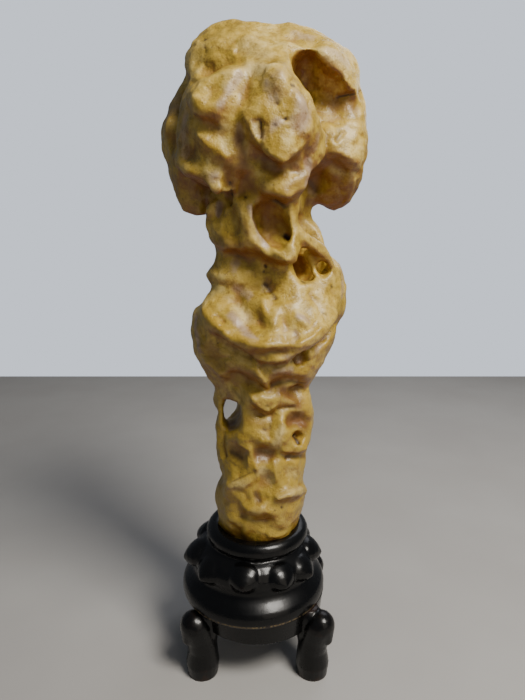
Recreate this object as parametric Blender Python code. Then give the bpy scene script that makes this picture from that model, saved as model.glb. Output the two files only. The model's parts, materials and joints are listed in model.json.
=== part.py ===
"""A tall yellow scholar's rock standing in the socket of a black carved wood stand.

Units are metres, +Z is up, and the viewer stands on the -Y side.  The origin is on the
floor, under the middle of the whole piece.  Places and sizes of the forms are written in
millimetres and scaled by MM.

The rock is built the way the stone was shaped: large masses are fused into one skin,
hollows are dissolved out of it, and ridges, dents and cracks are worn along its surface.
"""

import math
from collections import namedtuple

import bmesh
import bpy
import numpy as np
from mathutils import Euler, Matrix, Vector, noise
from mathutils.bvhtree import BVHTree

MM = 0.001

# --- the rock -------------------------------------------------------------------------
COARSE_VOXEL = 2.4 * MM
FINE_VOXEL = 2.0 * MM
MASS_SMOOTHING = 8
HOLLOW_SMOOTHING = 2
SKIN_SMOOTHING = 3
ROCK_TRIANGLES = 6800

# The sides and back are worn all over by strokes strewn by rule, clear of the socket.
WEATHER_SEED = 7
WEATHER_STROKES = 190
WEATHER_FACING = 0.35
WEATHER_FLOOR = 150 * MM
WEATHER_LENGTH = (6, 34)
WEATHER_REACH = (7, 17)
WEATHER_RISE = (2, 4.5)
WEATHER_DENT = (-8, -3)
# Uneven swelling of the whole skin as (wave length, height), weaker where it faces front.
RIPPLES = ((28 * MM, 3.0 * MM), (13 * MM, 1.4 * MM))
RIPPLE_FRONT_SHARE = 0.25
# A distance in front of everything, from which stations are dropped onto the skin.
FRONT = 200

# --- the stand ------------------------------------------------------------------------
PLAY = 0.35 * MM
STAND_VOXEL = 1.8 * MM
STAND_SMOOTHING = 3
BODY_BOTTOM = 69.5 * MM
BODY_MIDDLE = (-9.5, 0)
# Outline of the turned body as (radius, height), from the underside up to the socket.
BODY_OUTLINE = (
    (0, 69), (71, 69), (73, 70.5), (73.7, 73.5), (73.2, 78.5), (71.5, 82.5), (68, 86),
    (63, 88.5), (58, 91), (55.5, 95), (54.5, 101), (54, 110), (52, 116), (48, 122), (45, 127), (42, 134), (0, 134),
)
BODY_SIDES = 72
BODY_TRIANGLES = 1500
COLLAR_MIDDLE = (-5.5, 0, 131)
COLLAR_RADIUS = 43
COLLAR_HALF = 9
# A knob is a broad swelling that slopes down from the collar and runs out to a blunt point: its bearing in degrees
# from the front round towards +X, the height of its point and the radius that it reaches.
Knob = namedtuple("Knob", "bearing height reach")
KNOBS = (
    Knob(-8, 106, 68),
    Knob(28.6, 104, 68.5),
    Knob(57, 102, 70),
    Knob(86, 106, 71),
    Knob(118, 107, 69),
    Knob(149, 108, 69),
    Knob(180, 106, 69),
    Knob(-149, 108, 69),
    Knob(-117, 108, 69),
    Knob(-80, 105, 72.5),
    Knob(-48, 103, 69),
)
# Rings of the swelling from its root outward, as (setback, half width, half height, lift).
KNOB_RINGS = ((22, 19, 13.5, 4), (14, 17.5, 12, 3.5), (8, 13, 9, 2), (4, 8, 6, 0.5))
KNOB_RING_POINTS = 16
POINT_TIP = 3.6

APRON_OUTLINE = ((53, 51), (57, 46), (64, 45.5), (66.5, 48), (67.5, 58), (69, 69.1), (53, 69.1))
APRON_SIDES = 32
LEG_MIDDLE = (-5, 0)
LEG_TOP = 69.1 * MM
LEG_TRIANGLES = 200
# Stations (x, y, z, radius) of one leg's bars, outward from the middle of the stand.
LEG_SHANK = (
    (60, 47, 53, 15), (56.5, 46, 40, 14), (54, 45, 27, 14.5), (54.5, 44.5, 12, 16.5), (54.5, 44.5, 2, 15.5),
)
LEG_KNUCKLE = ((62, 48, 55, 13.5), (67, 52, 42, 6))
LEG_ROOT = ((50, 40, 60, 13), (50, 41, 45, 12), (51, 42, 26, 10))

CUT_BOX_HALF = 100 * MM

# --- finishes: sRGB hex colour, roughness, metallic -----------------------------------
STONE = ("#B98A3E", 0.38, 0.0)
LACQUER = ("#17130F", 0.22, 0.0)

# --- the rock's forms -----------------------------------------------------------------
# A chunk is the hull of its corners.  A limb is a tapering bar along its stations of
# (x, y, z, radius).  A hollow is a stretched ball: its middle, its half widths, and its
# turn in degrees about X, Y and Z.  A stroke swells the skin by its rise, or dents it
# where the rise is negative, within its reach of a line along the skin.  Its stations
# are (x, z) as seen from the front.
Chunk = namedtuple("Chunk", "name corners")
Limb = namedtuple("Limb", "name stations")
Hollow = namedtuple("Hollow", "name at half turn")
Stroke = namedtuple("Stroke", "name rise reach stations")

CHUNKS = (
    # the head
    Chunk("crown_left", (
        (-52, -8, 592), (-41, -10, 599), (-28, -12, 602), (-11, -12, 600), (-67, -12, 572),
        (-68, -14, 562), (-59, -27, 573), (-39, -42, 570), (-17, -46, 570), (-63, -24, 556),
        (-45, -42, 550), (-45, 30, 594), (-5, 36, 598), (-65, 30, 562), (-5, 50, 550), (-5, -20, 540),
        (-55, 20, 540), (-63, 10, 580),
    )),
    Chunk("crown_middle", (
        (-19, -16, 599), (-3, -14, 600), (7, -12, 598), (-15, -44, 572), (9, -46, 570), (-15, 30, 600),
        (9, 30, 598), (-5, 0, 540), (15, -30, 584),
    )),
    Chunk("crown_right", (
        (9, -10, 597), (19, -10, 600), (29, -10, 599), (40, -10, 594), (49, -10, 592), (57, -8, 588),
        (66, -6, 583), (79, -2, 577), (87, 0, 568), (90, 2, 558), (91, 4, 548), (23, -44, 570),
        (33, -43, 570), (45, -41, 565), (55, -38, 559), (63, -34, 550), (73, -28, 543), (83, -13, 546),
        (20, 42, 594), (67, 36, 574), (81, 26, 548), (35, 50, 550), (15, 0, 545), (59, -24, 580),
    )),
    Chunk("forehead", (
        (-35, -36, 576), (-5, -34, 583), (19, -38, 578), (22, -52, 558), (13, -62, 550),
        (-3, -60, 552), (-17, -56, 554), (-5, 0, 590), (-5, 0, 540), (25, 0, 540),
    )),
    Chunk("brow", (
        (-9, -60, 548), (0, -62, 552), (13, -68, 548), (23, -56, 556), (29, -55, 544), (38, -52, 536),
        (45, -50, 527), (49, -47, 516), (53, -44, 504), (50, -44, 492), (15, -80, 532), (26, -79, 519),
        (33, -76, 502), (28, -72, 490), (15, -78, 478), (3, -78, 488), (-8, -76, 502), (-13, -74, 516),
        (-5, 0, 555), (41, 0, 530), (45, 0, 490), (-5, 0, 490),
    )),
    Chunk("jaw", (
        (52, -42, 498), (51, -40, 482), (41, -45, 466), (31, -54, 463), (19, -60, 454), (10, -57, 457),
        (-3, -50, 457), (-13, -46, 458), (-2, -60, 472), (21, -64, 474), (41, -54, 484),
        (-15, -58, 484), (-15, 20, 450), (35, 20, 450), (45, 0, 490), (-5, 0, 490),
    )),
    Chunk("nose", (
        (-59, -42, 537), (-58, -56, 526), (-51, -66, 518), (-39, -72, 513), (-33, -72, 512),
        (-25, -70, 520), (-45, -56, 541), (-33, -58, 545), (-20, -60, 552), (-63, -22, 552),
        (-67, -32, 528), (-25, -20, 520), (-55, -10, 530), (-21, -66, 535),
    )),
    Chunk("left_face", (
        (-67, -34, 530), (-72, -29, 512), (-78, -25, 494), (-76, -27, 484), (-67, -34, 480),
        (-53, -46, 470), (-41, -54, 458), (-32, -58, 453), (-26, -56, 459), (-29, -62, 476),
        (-33, -66, 486), (-49, -64, 502), (-59, -56, 506), (-45, -56, 515), (-25, -58, 516),
        (-65, 0, 530), (-65, 0, 480), (-5, 0, 460), (-5, 0, 520), (-13, -52, 480),
    )),
    Chunk("left_lobe", (
        (-71, 12, 563), (-79, 14, 552), (-85, 16, 541), (-88, 18, 530), (-94, 18, 520), (-95, 18, 510),
        (-93, 16, 498), (-89, 12, 490), (-89, 12, 481), (-83, 10, 466), (-75, 8, 451), (-71, 6, 446),
        (-57, 4, 441), (-49, 6, 445), (-81, -10, 520), (-81, -12, 498), (-75, -12, 474),
        (-65, -16, 457), (-77, 48, 540), (-83, 48, 508), (-75, 42, 468), (-53, 36, 448),
        (-35, 58, 545), (-25, 0, 500),
    )),
    Chunk("right_lobe", (
        (89, 2, 546), (91, 0, 537), (93, 0, 526), (94, 0, 511), (94, 0, 499), (93, 2, 490),
        (92, 6, 482), (90, 10, 479), (91, 16, 470), (87, 20, 460), (81, 20, 452), (72, 22, 446),
        (60, 24, 445), (49, 24, 447), (41, 18, 453), (85, -12, 528), (79, -16, 522), (79, -25, 510),
        (87, -17, 492), (75, -27, 492), (59, -32, 497), (55, -28, 510), (75, 46, 534), (81, 42, 500),
        (67, 42, 462), (35, 56, 540), (35, 20, 460), (25, 0, 500),
    )),
    Chunk("cave_back", (
        (91, 6, 551), (91, 2, 540), (92, -2, 528), (79, -14, 524), (61, -24, 516), (55, -30, 508),
        (65, -10, 545), (79, -12, 541), (45, 10, 565), (35, -16, 560), (35, -16, 510), (55, 30, 560),
        (55, 30, 500),
    )),
    Chunk("face_core", (
        (-29, -58, 545), (-21, -62, 546), (-7, -62, 545), (-35, -62, 508), (-35, -60, 492),
        (-29, -61, 474), (-23, -66, 512), (-13, -69, 508), (-19, -66, 490), (-9, -68, 492),
        (-3, -58, 472), (3, -66, 500), (-35, -40, 560), (-7, -40, 565), (-29, 0, 540), (-5, 0, 540),
        (-29, 0, 470), (-5, 0, 470),
    )),
    Chunk("nose_bridge", (
        (-19, -60, 551), (-27, -66, 530), (-9, -70, 530), (-3, -64, 548), (-23, -64, 518),
        (-13, -72, 519), (-15, -40, 556), (-15, -30, 520),
    )),
    Chunk("neck_root", (
        (-47, -6, 462), (-45, -12, 442), (-33, -30, 466), (-25, -34, 448), (15, -36, 466),
        (29, -24, 450), (-45, 30, 470), (-41, 30, 440), (35, 34, 470), (33, 34, 440), (43, 10, 468),
        (41, 10, 448),
    )),
    Chunk("head_core", (
        (-63, 48, 566), (53, 50, 566), (-79, 44, 530), (73, 42, 530), (-77, 40, 486), (71, 38, 486),
        (-55, 40, 588), (45, 38, 588), (-5, 44, 598), (-25, 66, 572), (19, 66, 572), (-15, 72, 520),
        (25, 70, 520), (-5, 63, 474), (39, 54, 456), (-45, 52, 456), (-65, 34, 450), (59, 34, 450),
        (-5, 0, 560), (-5, 0, 470),
    )),
    Chunk("head_shoulder_left", (
        (-75, 44, 548), (-63, 58, 530), (-67, 56, 500), (-79, 40, 500), (-69, 46, 470), (-55, 54, 476),
        (-45, 64, 540), (-35, 50, 500), (-55, 46, 560),
    )),
    Chunk("head_shoulder_right", (
        (71, 44, 544), (57, 60, 532), (61, 56, 500), (75, 38, 500), (67, 42, 470), (49, 52, 470),
        (39, 66, 540), (25, 50, 500), (51, 48, 562),
    )),
    Chunk("head_back", (
        (-49, 54, 568), (-5, 62, 578), (41, 57, 566), (-63, 62, 520), (-37, 74, 536), (-13, 80, 512),
        (29, 78, 516), (55, 61, 512), (-45, 53, 464), (-5, 61, 450), (41, 51, 458), (-5, 0, 560),
        (-5, 0, 450), (-65, 30, 500), (55, 30, 500),
    )),
    # the neck
    Chunk("neck_back", (
        (-39, 34, 462), (-17, 48, 462), (15, 50, 460), (39, 38, 462), (-35, 36, 424), (-13, 46, 432),
        (13, 44, 420), (41, 40, 430), (-39, 34, 392), (-11, 42, 396), (19, 44, 390), (49, 38, 400),
        (-5, 0, 450), (-5, 0, 400), (-41, 30, 372), (47, 44, 376),
    )),
    Chunk("neck_upper", (
        (-45, -6, 450), (-52, -8, 434), (-52, -10, 425), (-48, -14, 420), (-41, -28, 454),
        (-30, -38, 454), (-10, -50, 454), (-8, -54, 432), (0, -55, 419), (13, -56, 409),
        (23, -53, 403), (32, -44, 407), (34, -38, 424), (32, -38, 442), (29, -38, 460), (-39, 34, 450),
        (25, 36, 455), (21, 30, 408), (-35, 28, 412),
    )),
    Chunk("neck_waist", (
        (-41, -4, 416), (-40, -4, 405), (-44, -6, 397), (-47, -12, 384), (-35, -26, 412),
        (19, -40, 404), (23, -32, 392), (29, -26, 392), (-21, -32, 390), (5, -33, 390),
        (-49, -12, 374), (29, 34, 410), (-33, 30, 412), (-39, 34, 376), (31, 36, 376), (-39, -24, 372),
        (29, -30, 378),
    )),
    Chunk("neck_collar", (
        (-51, -8, 396), (-57, -6, 391), (-54, -6, 385), (-43, -20, 386), (-37, 6, 394),
        (-43, -14, 400), (-35, -24, 390),
    )),
    Chunk("neck_core", (
        (25, 4, 400), (51, 12, 398), (55, 16, 380), (31, 4, 378), (15, 2, 440), (35, 10, 440),
        (51, 34, 400), (53, 36, 378), (15, 36, 380), (5, 30, 440),
    )),
    Chunk("neck_right", (
        (52, 14, 446), (53, 18, 436), (53, 16, 428), (49, 8, 422), (55, 4, 412), (61, 0, 402),
        (25, 14, 450), (25, 14, 396), (57, 16, 394), (25, 36, 450), (53, 34, 420), (55, 30, 396),
        (45, 10, 450), (65, 4, 394),
    )),
    # the bowl
    Chunk("bowl_back", (
        (-53, 40, 366), (49, 44, 372), (-57, 38, 330), (55, 40, 330), (-15, 60, 352), (21, 60, 346),
        (-39, 32, 288), (41, 36, 288), (-11, 50, 306), (23, 48, 302), (-37, 38, 396), (45, 44, 396),
        (-5, 48, 392), (-5, 0, 340), (-63, 24, 340), (65, 28, 340),
    )),
    Chunk("bowl_right_core", (
        (73, 4, 362), (65, -14, 356), (71, 4, 336), (61, -12, 328), (45, -30, 340), (55, 40, 362),
        (57, 38, 332), (25, 0, 362), (25, 0, 330),
    )),
    Chunk("bowl", (
        (-57, -18, 366), (-57, -29, 358), (-48, -43, 351), (-34, -56, 343), (-17, -65, 335),
        (-3, -69, 331), (14, -69, 333), (31, -65, 332), (42, -58, 334), (52, -48, 340), (63, -34, 350),
        (66, -24, 362), (55, -30, 378), (-49, -18, 376), (-5, -36, 376), (33, -34, 386),
        (-49, -24, 324), (-5, -46, 318), (39, -40, 322), (-55, 42, 350), (-5, 56, 352), (47, 46, 352),
        (-35, 36, 380), (29, 36, 384),
    )),
    Chunk("bowl_right", (
        (57, 2, 406), (63, 2, 407), (71, 2, 405), (75, 0, 399), (78, -2, 386), (80, 0, 370),
        (80, 0, 352), (76, 0, 346), (61, -14, 402), (65, -22, 386), (68, -25, 364), (63, -20, 348),
        (55, 44, 396), (73, 40, 372), (65, 36, 345), (35, 0, 370), (53, -18, 384),
    )),
    Chunk("bowl_right_low", (
        (72, 0, 348), (70, 0, 334), (66, -5, 318), (60, -10, 309), (54, -13, 299), (47, -14, 290),
        (40, -16, 284), (46, -44, 324), (59, -30, 334), (35, -38, 300), (51, -24, 308), (55, 36, 336),
        (41, 34, 298), (-5, 0, 320),
    )),
    Chunk("bowl_left", (
        (-62, -4, 361), (-67, 0, 356), (-67, -4, 343), (-69, -4, 330), (-67, -5, 317), (-62, -6, 308),
        (-59, -7, 301), (-53, -10, 293), (-47, -10, 284), (-41, -10, 281), (-59, -24, 346),
        (-51, -30, 322), (-35, -38, 302), (-61, 36, 346), (-55, 36, 315), (-40, 26, 290), (-5, 0, 340),
        (-5, 0, 300),
    )),
    Chunk("bowl_left_core", (
        (-59, -20, 350), (-51, -32, 344), (-31, -48, 336), (-15, -54, 330), (-55, -20, 318),
        (-41, -32, 308), (-19, -44, 306), (-5, 0, 350), (-5, 0, 300), (-35, 0, 300),
    )),
    Chunk("bowl_under", (
        (-15, -50, 322), (-1, -54, 312), (17, -56, 312), (35, -50, 318), (-21, -46, 310),
        (33, -42, 303), (45, -32, 304), (29, -30, 290), (-29, -20, 284), (-11, -36, 292),
        (35, 20, 284), (-29, 26, 286), (-5, 44, 312), (-45, 20, 300), (15, -40, 296),
    )),
    # the column
    Chunk("column_back", (
        (-31, 34, 290), (37, 38, 292), (5, 50, 284), (-17, 46, 262), (29, 46, 250), (-33, 30, 232),
        (39, 36, 236), (1, 46, 228), (15, 48, 206), (-29, 34, 204), (35, 36, 206), (-5, 0, 260),
        (-13, 44, 184), (21, 42, 180), (-11, 38, 158), (17, 38, 156), (-5, 0, 200),
    )),
    Chunk("shoulder", (
        (40, -6, 287), (46, -8, 282), (50, -4, 272), (52, -2, 258), (52, -2, 247), (49, -6, 236),
        (45, -12, 226), (-17, -34, 292), (3, -38, 278), (21, -36, 272), (39, -24, 276), (21, -40, 256),
        (21, -44, 240), (42, -28, 232), (-19, -36, 256), (-21, -38, 238), (35, 38, 284), (41, 36, 230),
        (-19, 40, 282), (-23, 40, 226), (-5, -42, 244),
    )),
    Chunk("left_strut", (
        (-45, -6, 286), (-48, -6, 270), (-41, -10, 284), (-48, -4, 246), (-42, -14, 264),
        (-47, 8, 270), (-40, -12, 250), (-42, 8, 250), (-48, -4, 228), (-39, -18, 224), (-37, 12, 226),
        (-37, -12, 290), (-35, 14, 290),
    )),
    Chunk("window_top", (
        (-49, -4, 300), (-39, -24, 294), (-17, -36, 290), (-39, -14, 274), (-25, -24, 274),
        (-17, -30, 272), (-41, 20, 276), (-15, 30, 276), (-15, 0, 290),
    )),
    Chunk("window_sill", (
        (-41, -14, 236), (-33, -26, 242), (-25, -34, 249), (-17, -38, 253), (-41, 22, 236),
        (-17, 36, 250), (-15, 0, 220), (-43, -10, 222), (-19, -36, 226),
    )),
    Chunk("shin", (
        (-47, -4, 240), (-19, -34, 244), (0, -36, 246), (21, -38, 244), (39, -26, 240), (43, -10, 240),
        (-35, 28, 244), (31, 34, 244), (-47, -4, 228), (-47, -4, 211), (-44, -7, 203), (-39, -9, 197),
        (-38, -9, 190), (45, -10, 220), (43, -8, 209), (42, -8, 194), (41, -8, 184), (-21, -34, 230),
        (0, -36, 230), (20, -38, 228), (39, -28, 224), (-7, -44, 214), (-33, -30, 194), (25, -40, 194),
        (-39, 26, 224), (35, 34, 222), (-35, 32, 188), (31, 34, 188), (-1, 42, 206),
    )),
    Chunk("ankle", (
        (-41, -8, 188), (-47, -6, 181), (-50, -5, 171), (-50, -5, 160), (-46, -5, 155), (45, -8, 178),
        (47, -8, 172), (42, -6, 160), (40, -5, 150), (-33, -38, 192), (-13, -45, 194), (1, -45, 194),
        (25, -44, 193), (-33, -34, 160), (-11, -42, 158), (17, -42, 160), (33, -30, 164),
        (-35, 32, 190), (31, 34, 188), (-37, 32, 160), (33, 34, 160),
    )),
    Chunk("root", (
        (-47, -5, 160), (-48, -6, 144), (-47, -4, 126), (42, 0, 160), (39, 0, 142), (36, 0, 126),
        (-33, -34, 160), (-11, -42, 160), (19, -42, 160), (31, -30, 160), (-1, -38, 124),
        (-29, -26, 126), (25, -26, 126), (-31, 32, 160), (25, 34, 160), (-25, 28, 124), (21, 28, 124),
        (-1, -30, 118), (-1, 28, 118), (-33, 0, 118), (29, 0, 118),
    )),
)

LIMBS = (
    Limb("nose_top", (
        (-56, -50, 531, 7), (-46, -58, 534, 8), (-35, -60, 538, 7), (-23, -60, 543, 6),
        (-13, -57, 551, 4),
    )),
    Limb("nose_low", (
        (-48, -62, 522, 8), (-40, -64, 517, 8), (-33, -64, 516, 6),
    )),
    Limb("cheek", (
        (-49, -52, 504, 4), (-39, -59, 495, 5), (-28, -63, 486, 4),
    )),
    Limb("lobe_edge", (
        (-67, -34, 485, 8), (-54, -44, 473, 8), (-41, -50, 463, 8), (-33, -53, 459, 6),
    )),
    Limb("chin_left", (
        (-15, -68, 513, 5), (-8, -70, 502, 5), (3, -72, 490, 5), (14, -73, 483, 5),
    )),
    Limb("jaw_edge", (
        (1, -52, 463, 6), (12, -56, 459, 7), (20, -56, 459, 7), (32, -50, 465, 6), (42, -40, 473, 6),
    )),
    Limb("crown_lip", (
        (25, -40, 569, 5), (34, -39, 567, 5), (46, -37, 562, 5), (58, -33, 553, 5), (68, -27, 545, 5),
        (80, -15, 544, 5),
    )),
    Limb("neck_left", (
        (-43, -26, 451, 6), (-46, -20, 442, 6), (-47, -12, 430, 6), (-41, -20, 421, 6),
        (-30, -34, 416, 5),
    )),
    Limb("scoop_left", (
        (-9, -46, 452, 4), (-9, -47, 442, 4), (-6, -48, 431, 4), (0, -49, 422, 4), (9, -49, 413, 4),
        (18, -49, 408, 5), (26, -46, 404, 5),
    )),
    Limb("window_rim", (
        (29, -38, 426, 6), (39, -32, 421, 7), (49, -26, 415, 7), (57, -20, 404, 6), (62, -17, 393, 5),
    )),
    Limb("window_strut", (
        (40, -16, 409, 7), (45, -18, 397, 6), (54, -18, 384, 5),
    )),
    Limb("window_sill", (
        (27, -34, 384, 5), (38, -30, 382, 5), (51, -24, 381, 5), (63, -18, 386, 5),
    )),
    Limb("rim", (
        (-52, -26, 357, 5), (-43, -38, 350, 5), (-30, -50, 342, 5), (-13, -60, 336, 5),
        (0, -63, 334, 5), (16, -63, 335, 5), (32, -60, 334, 5), (43, -52, 338, 6), (56, -40, 347, 6),
        (64, -28, 355, 6),
    )),
    Limb("rim_drip", (
        (0, -56, 327, 4), (11, -57, 324, 5), (25, -54, 322, 4), (34, -49, 322, 4),
    )),
    Limb("beak", (
        (-9, -42, 313, 5), (0, -45, 306, 6), (4, -46, 300, 4),
    )),
    Limb("beak_right", (
        (4, -44, 303, 4), (17, -44, 307, 5), (34, -37, 305, 5), (43, -28, 299, 5),
    )),
    Limb("bowl_right_edge", (
        (66, -14, 340, 5), (54, -24, 327, 5), (46, -28, 317, 5), (44, -26, 305, 5),
    )),
    Limb("tongue", (
        (-10, -36, 289, 6), (-2, -41, 281, 7), (8, -40, 278, 6), (13, -35, 286, 5),
    )),
    Limb("bracket", (
        (19, -31, 289, 4), (20, -35, 279, 4), (28, -32, 276, 4),
    )),
    Limb("right_bulge", (
        (37, -14, 283, 7), (42, -13, 270, 7), (41, -14, 258, 6),
    )),
    Limb("knee", (
        (-33, -30, 191, 4), (-21, -36, 198, 5), (-10, -38, 202, 5),
    )),
    Limb("ankle_edge", (
        (9, -38, 183, 4), (24, -37, 186, 4), (36, -27, 185, 4), (42, -17, 182, 4),
    )),
    Limb("ankle_knob", (
        (-13, -38, 170, 4), (-5, -40, 175, 5), (5, -40, 175, 5),
    )),
)

HOLLOWS = (
    Hollow("cave", (43, -36, 543), (24, 28, 17), (0, 36, 0)),
    Hollow("cave_deep", (35, -30, 556), (12, 20, 14), (0, 30, 0)),
    Hollow("cave_mouth", (61, -35, 527), (20, 21, 15), (0, 25, 0)),
    Hollow("cave_slope", (54, -37, 536), (20, 27, 20), (0, 30, 0)),
    Hollow("cave_floor", (52, -34, 528), (12, 18, 20), (0, 20, 0)),
    Hollow("notch", (-65, -26, 548), (7, 22, 9), (0, 0, 0)),
    Hollow("under_right_lobe", (48, -26, 467), (17, 38, 20), (0, 20, 0)),
    Hollow("under_right_lobe_out", (63, -34, 461), (24, 34, 26), (0, 12, 0)),
    Hollow("neck_scoop", (8, -60, 433), (19, 33, 25), (0, -12, 0)),
    Hollow("scoop_hole", (22, -40, 425), (4, 8, 5), (0, 0, 0)),
    Hollow("neck_gap", (43, -10, 447), (7.5, 24, 16), (0, -10, 0)),
    Hollow("neck_window", (36, -30, 397), (7.4, 34, 12.5), (0, -20, 0)),
    Hollow("neck_cavern", (32, 6, 394), (11, 20, 13), (0, 0, 0)),
    Hollow("window_right", (54, -22, 397), (6, 22, 8.5), (0, -25, 0)),
    Hollow("left_window", (-31, -10, 255), (7.5, 60, 15), (0, 0, 0)),
    Hollow("pock", (32, -36, 241), (7.5, 17, 7.5), (0, 0, 0)),
    Hollow("eye", (1, -50, 233), (14, 15, 6.5), (0, 6, 0)),
    Hollow("belly", (-24, -48, 231), (13, 14, 12), (0, 0, 0)),
    Hollow("back_head", (-27, 90, 500), (22, 28, 26), (0, 0, 0)),
    Hollow("back_head_right", (35, 82, 540), (19, 24, 17), (0, 30, 0)),
    Hollow("back_head_low", (21, 72, 472), (17, 20, 17), (0, 0, 0)),
    Hollow("back_crown", (-7, 70, 588), (26, 16, 10), (0, 0, 0)),
    Hollow("left_side", (-93, 44, 502), (12, 14, 22), (0, 0, 0)),
    Hollow("right_side", (87, 42, 494), (11, 14, 20), (0, 0, 0)),
    Hollow("back_neck", (-3, 50, 428), (15, 16, 22), (0, 0, 0)),
    Hollow("back_bowl", (-27, 62, 346), (18, 18, 16), (0, 0, 0)),
    Hollow("back_bowl_right", (35, 58, 324), (14, 14, 12), (0, 0, 0)),
    Hollow("back_column", (5, 52, 262), (17, 18, 22), (0, 0, 0)),
    Hollow("back_shin", (-13, 48, 214), (13, 14, 14), (0, 0, 0)),
    Hollow("back_ankle", (17, 44, 176), (13, 12, 12), (0, 0, 0)),
)

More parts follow.
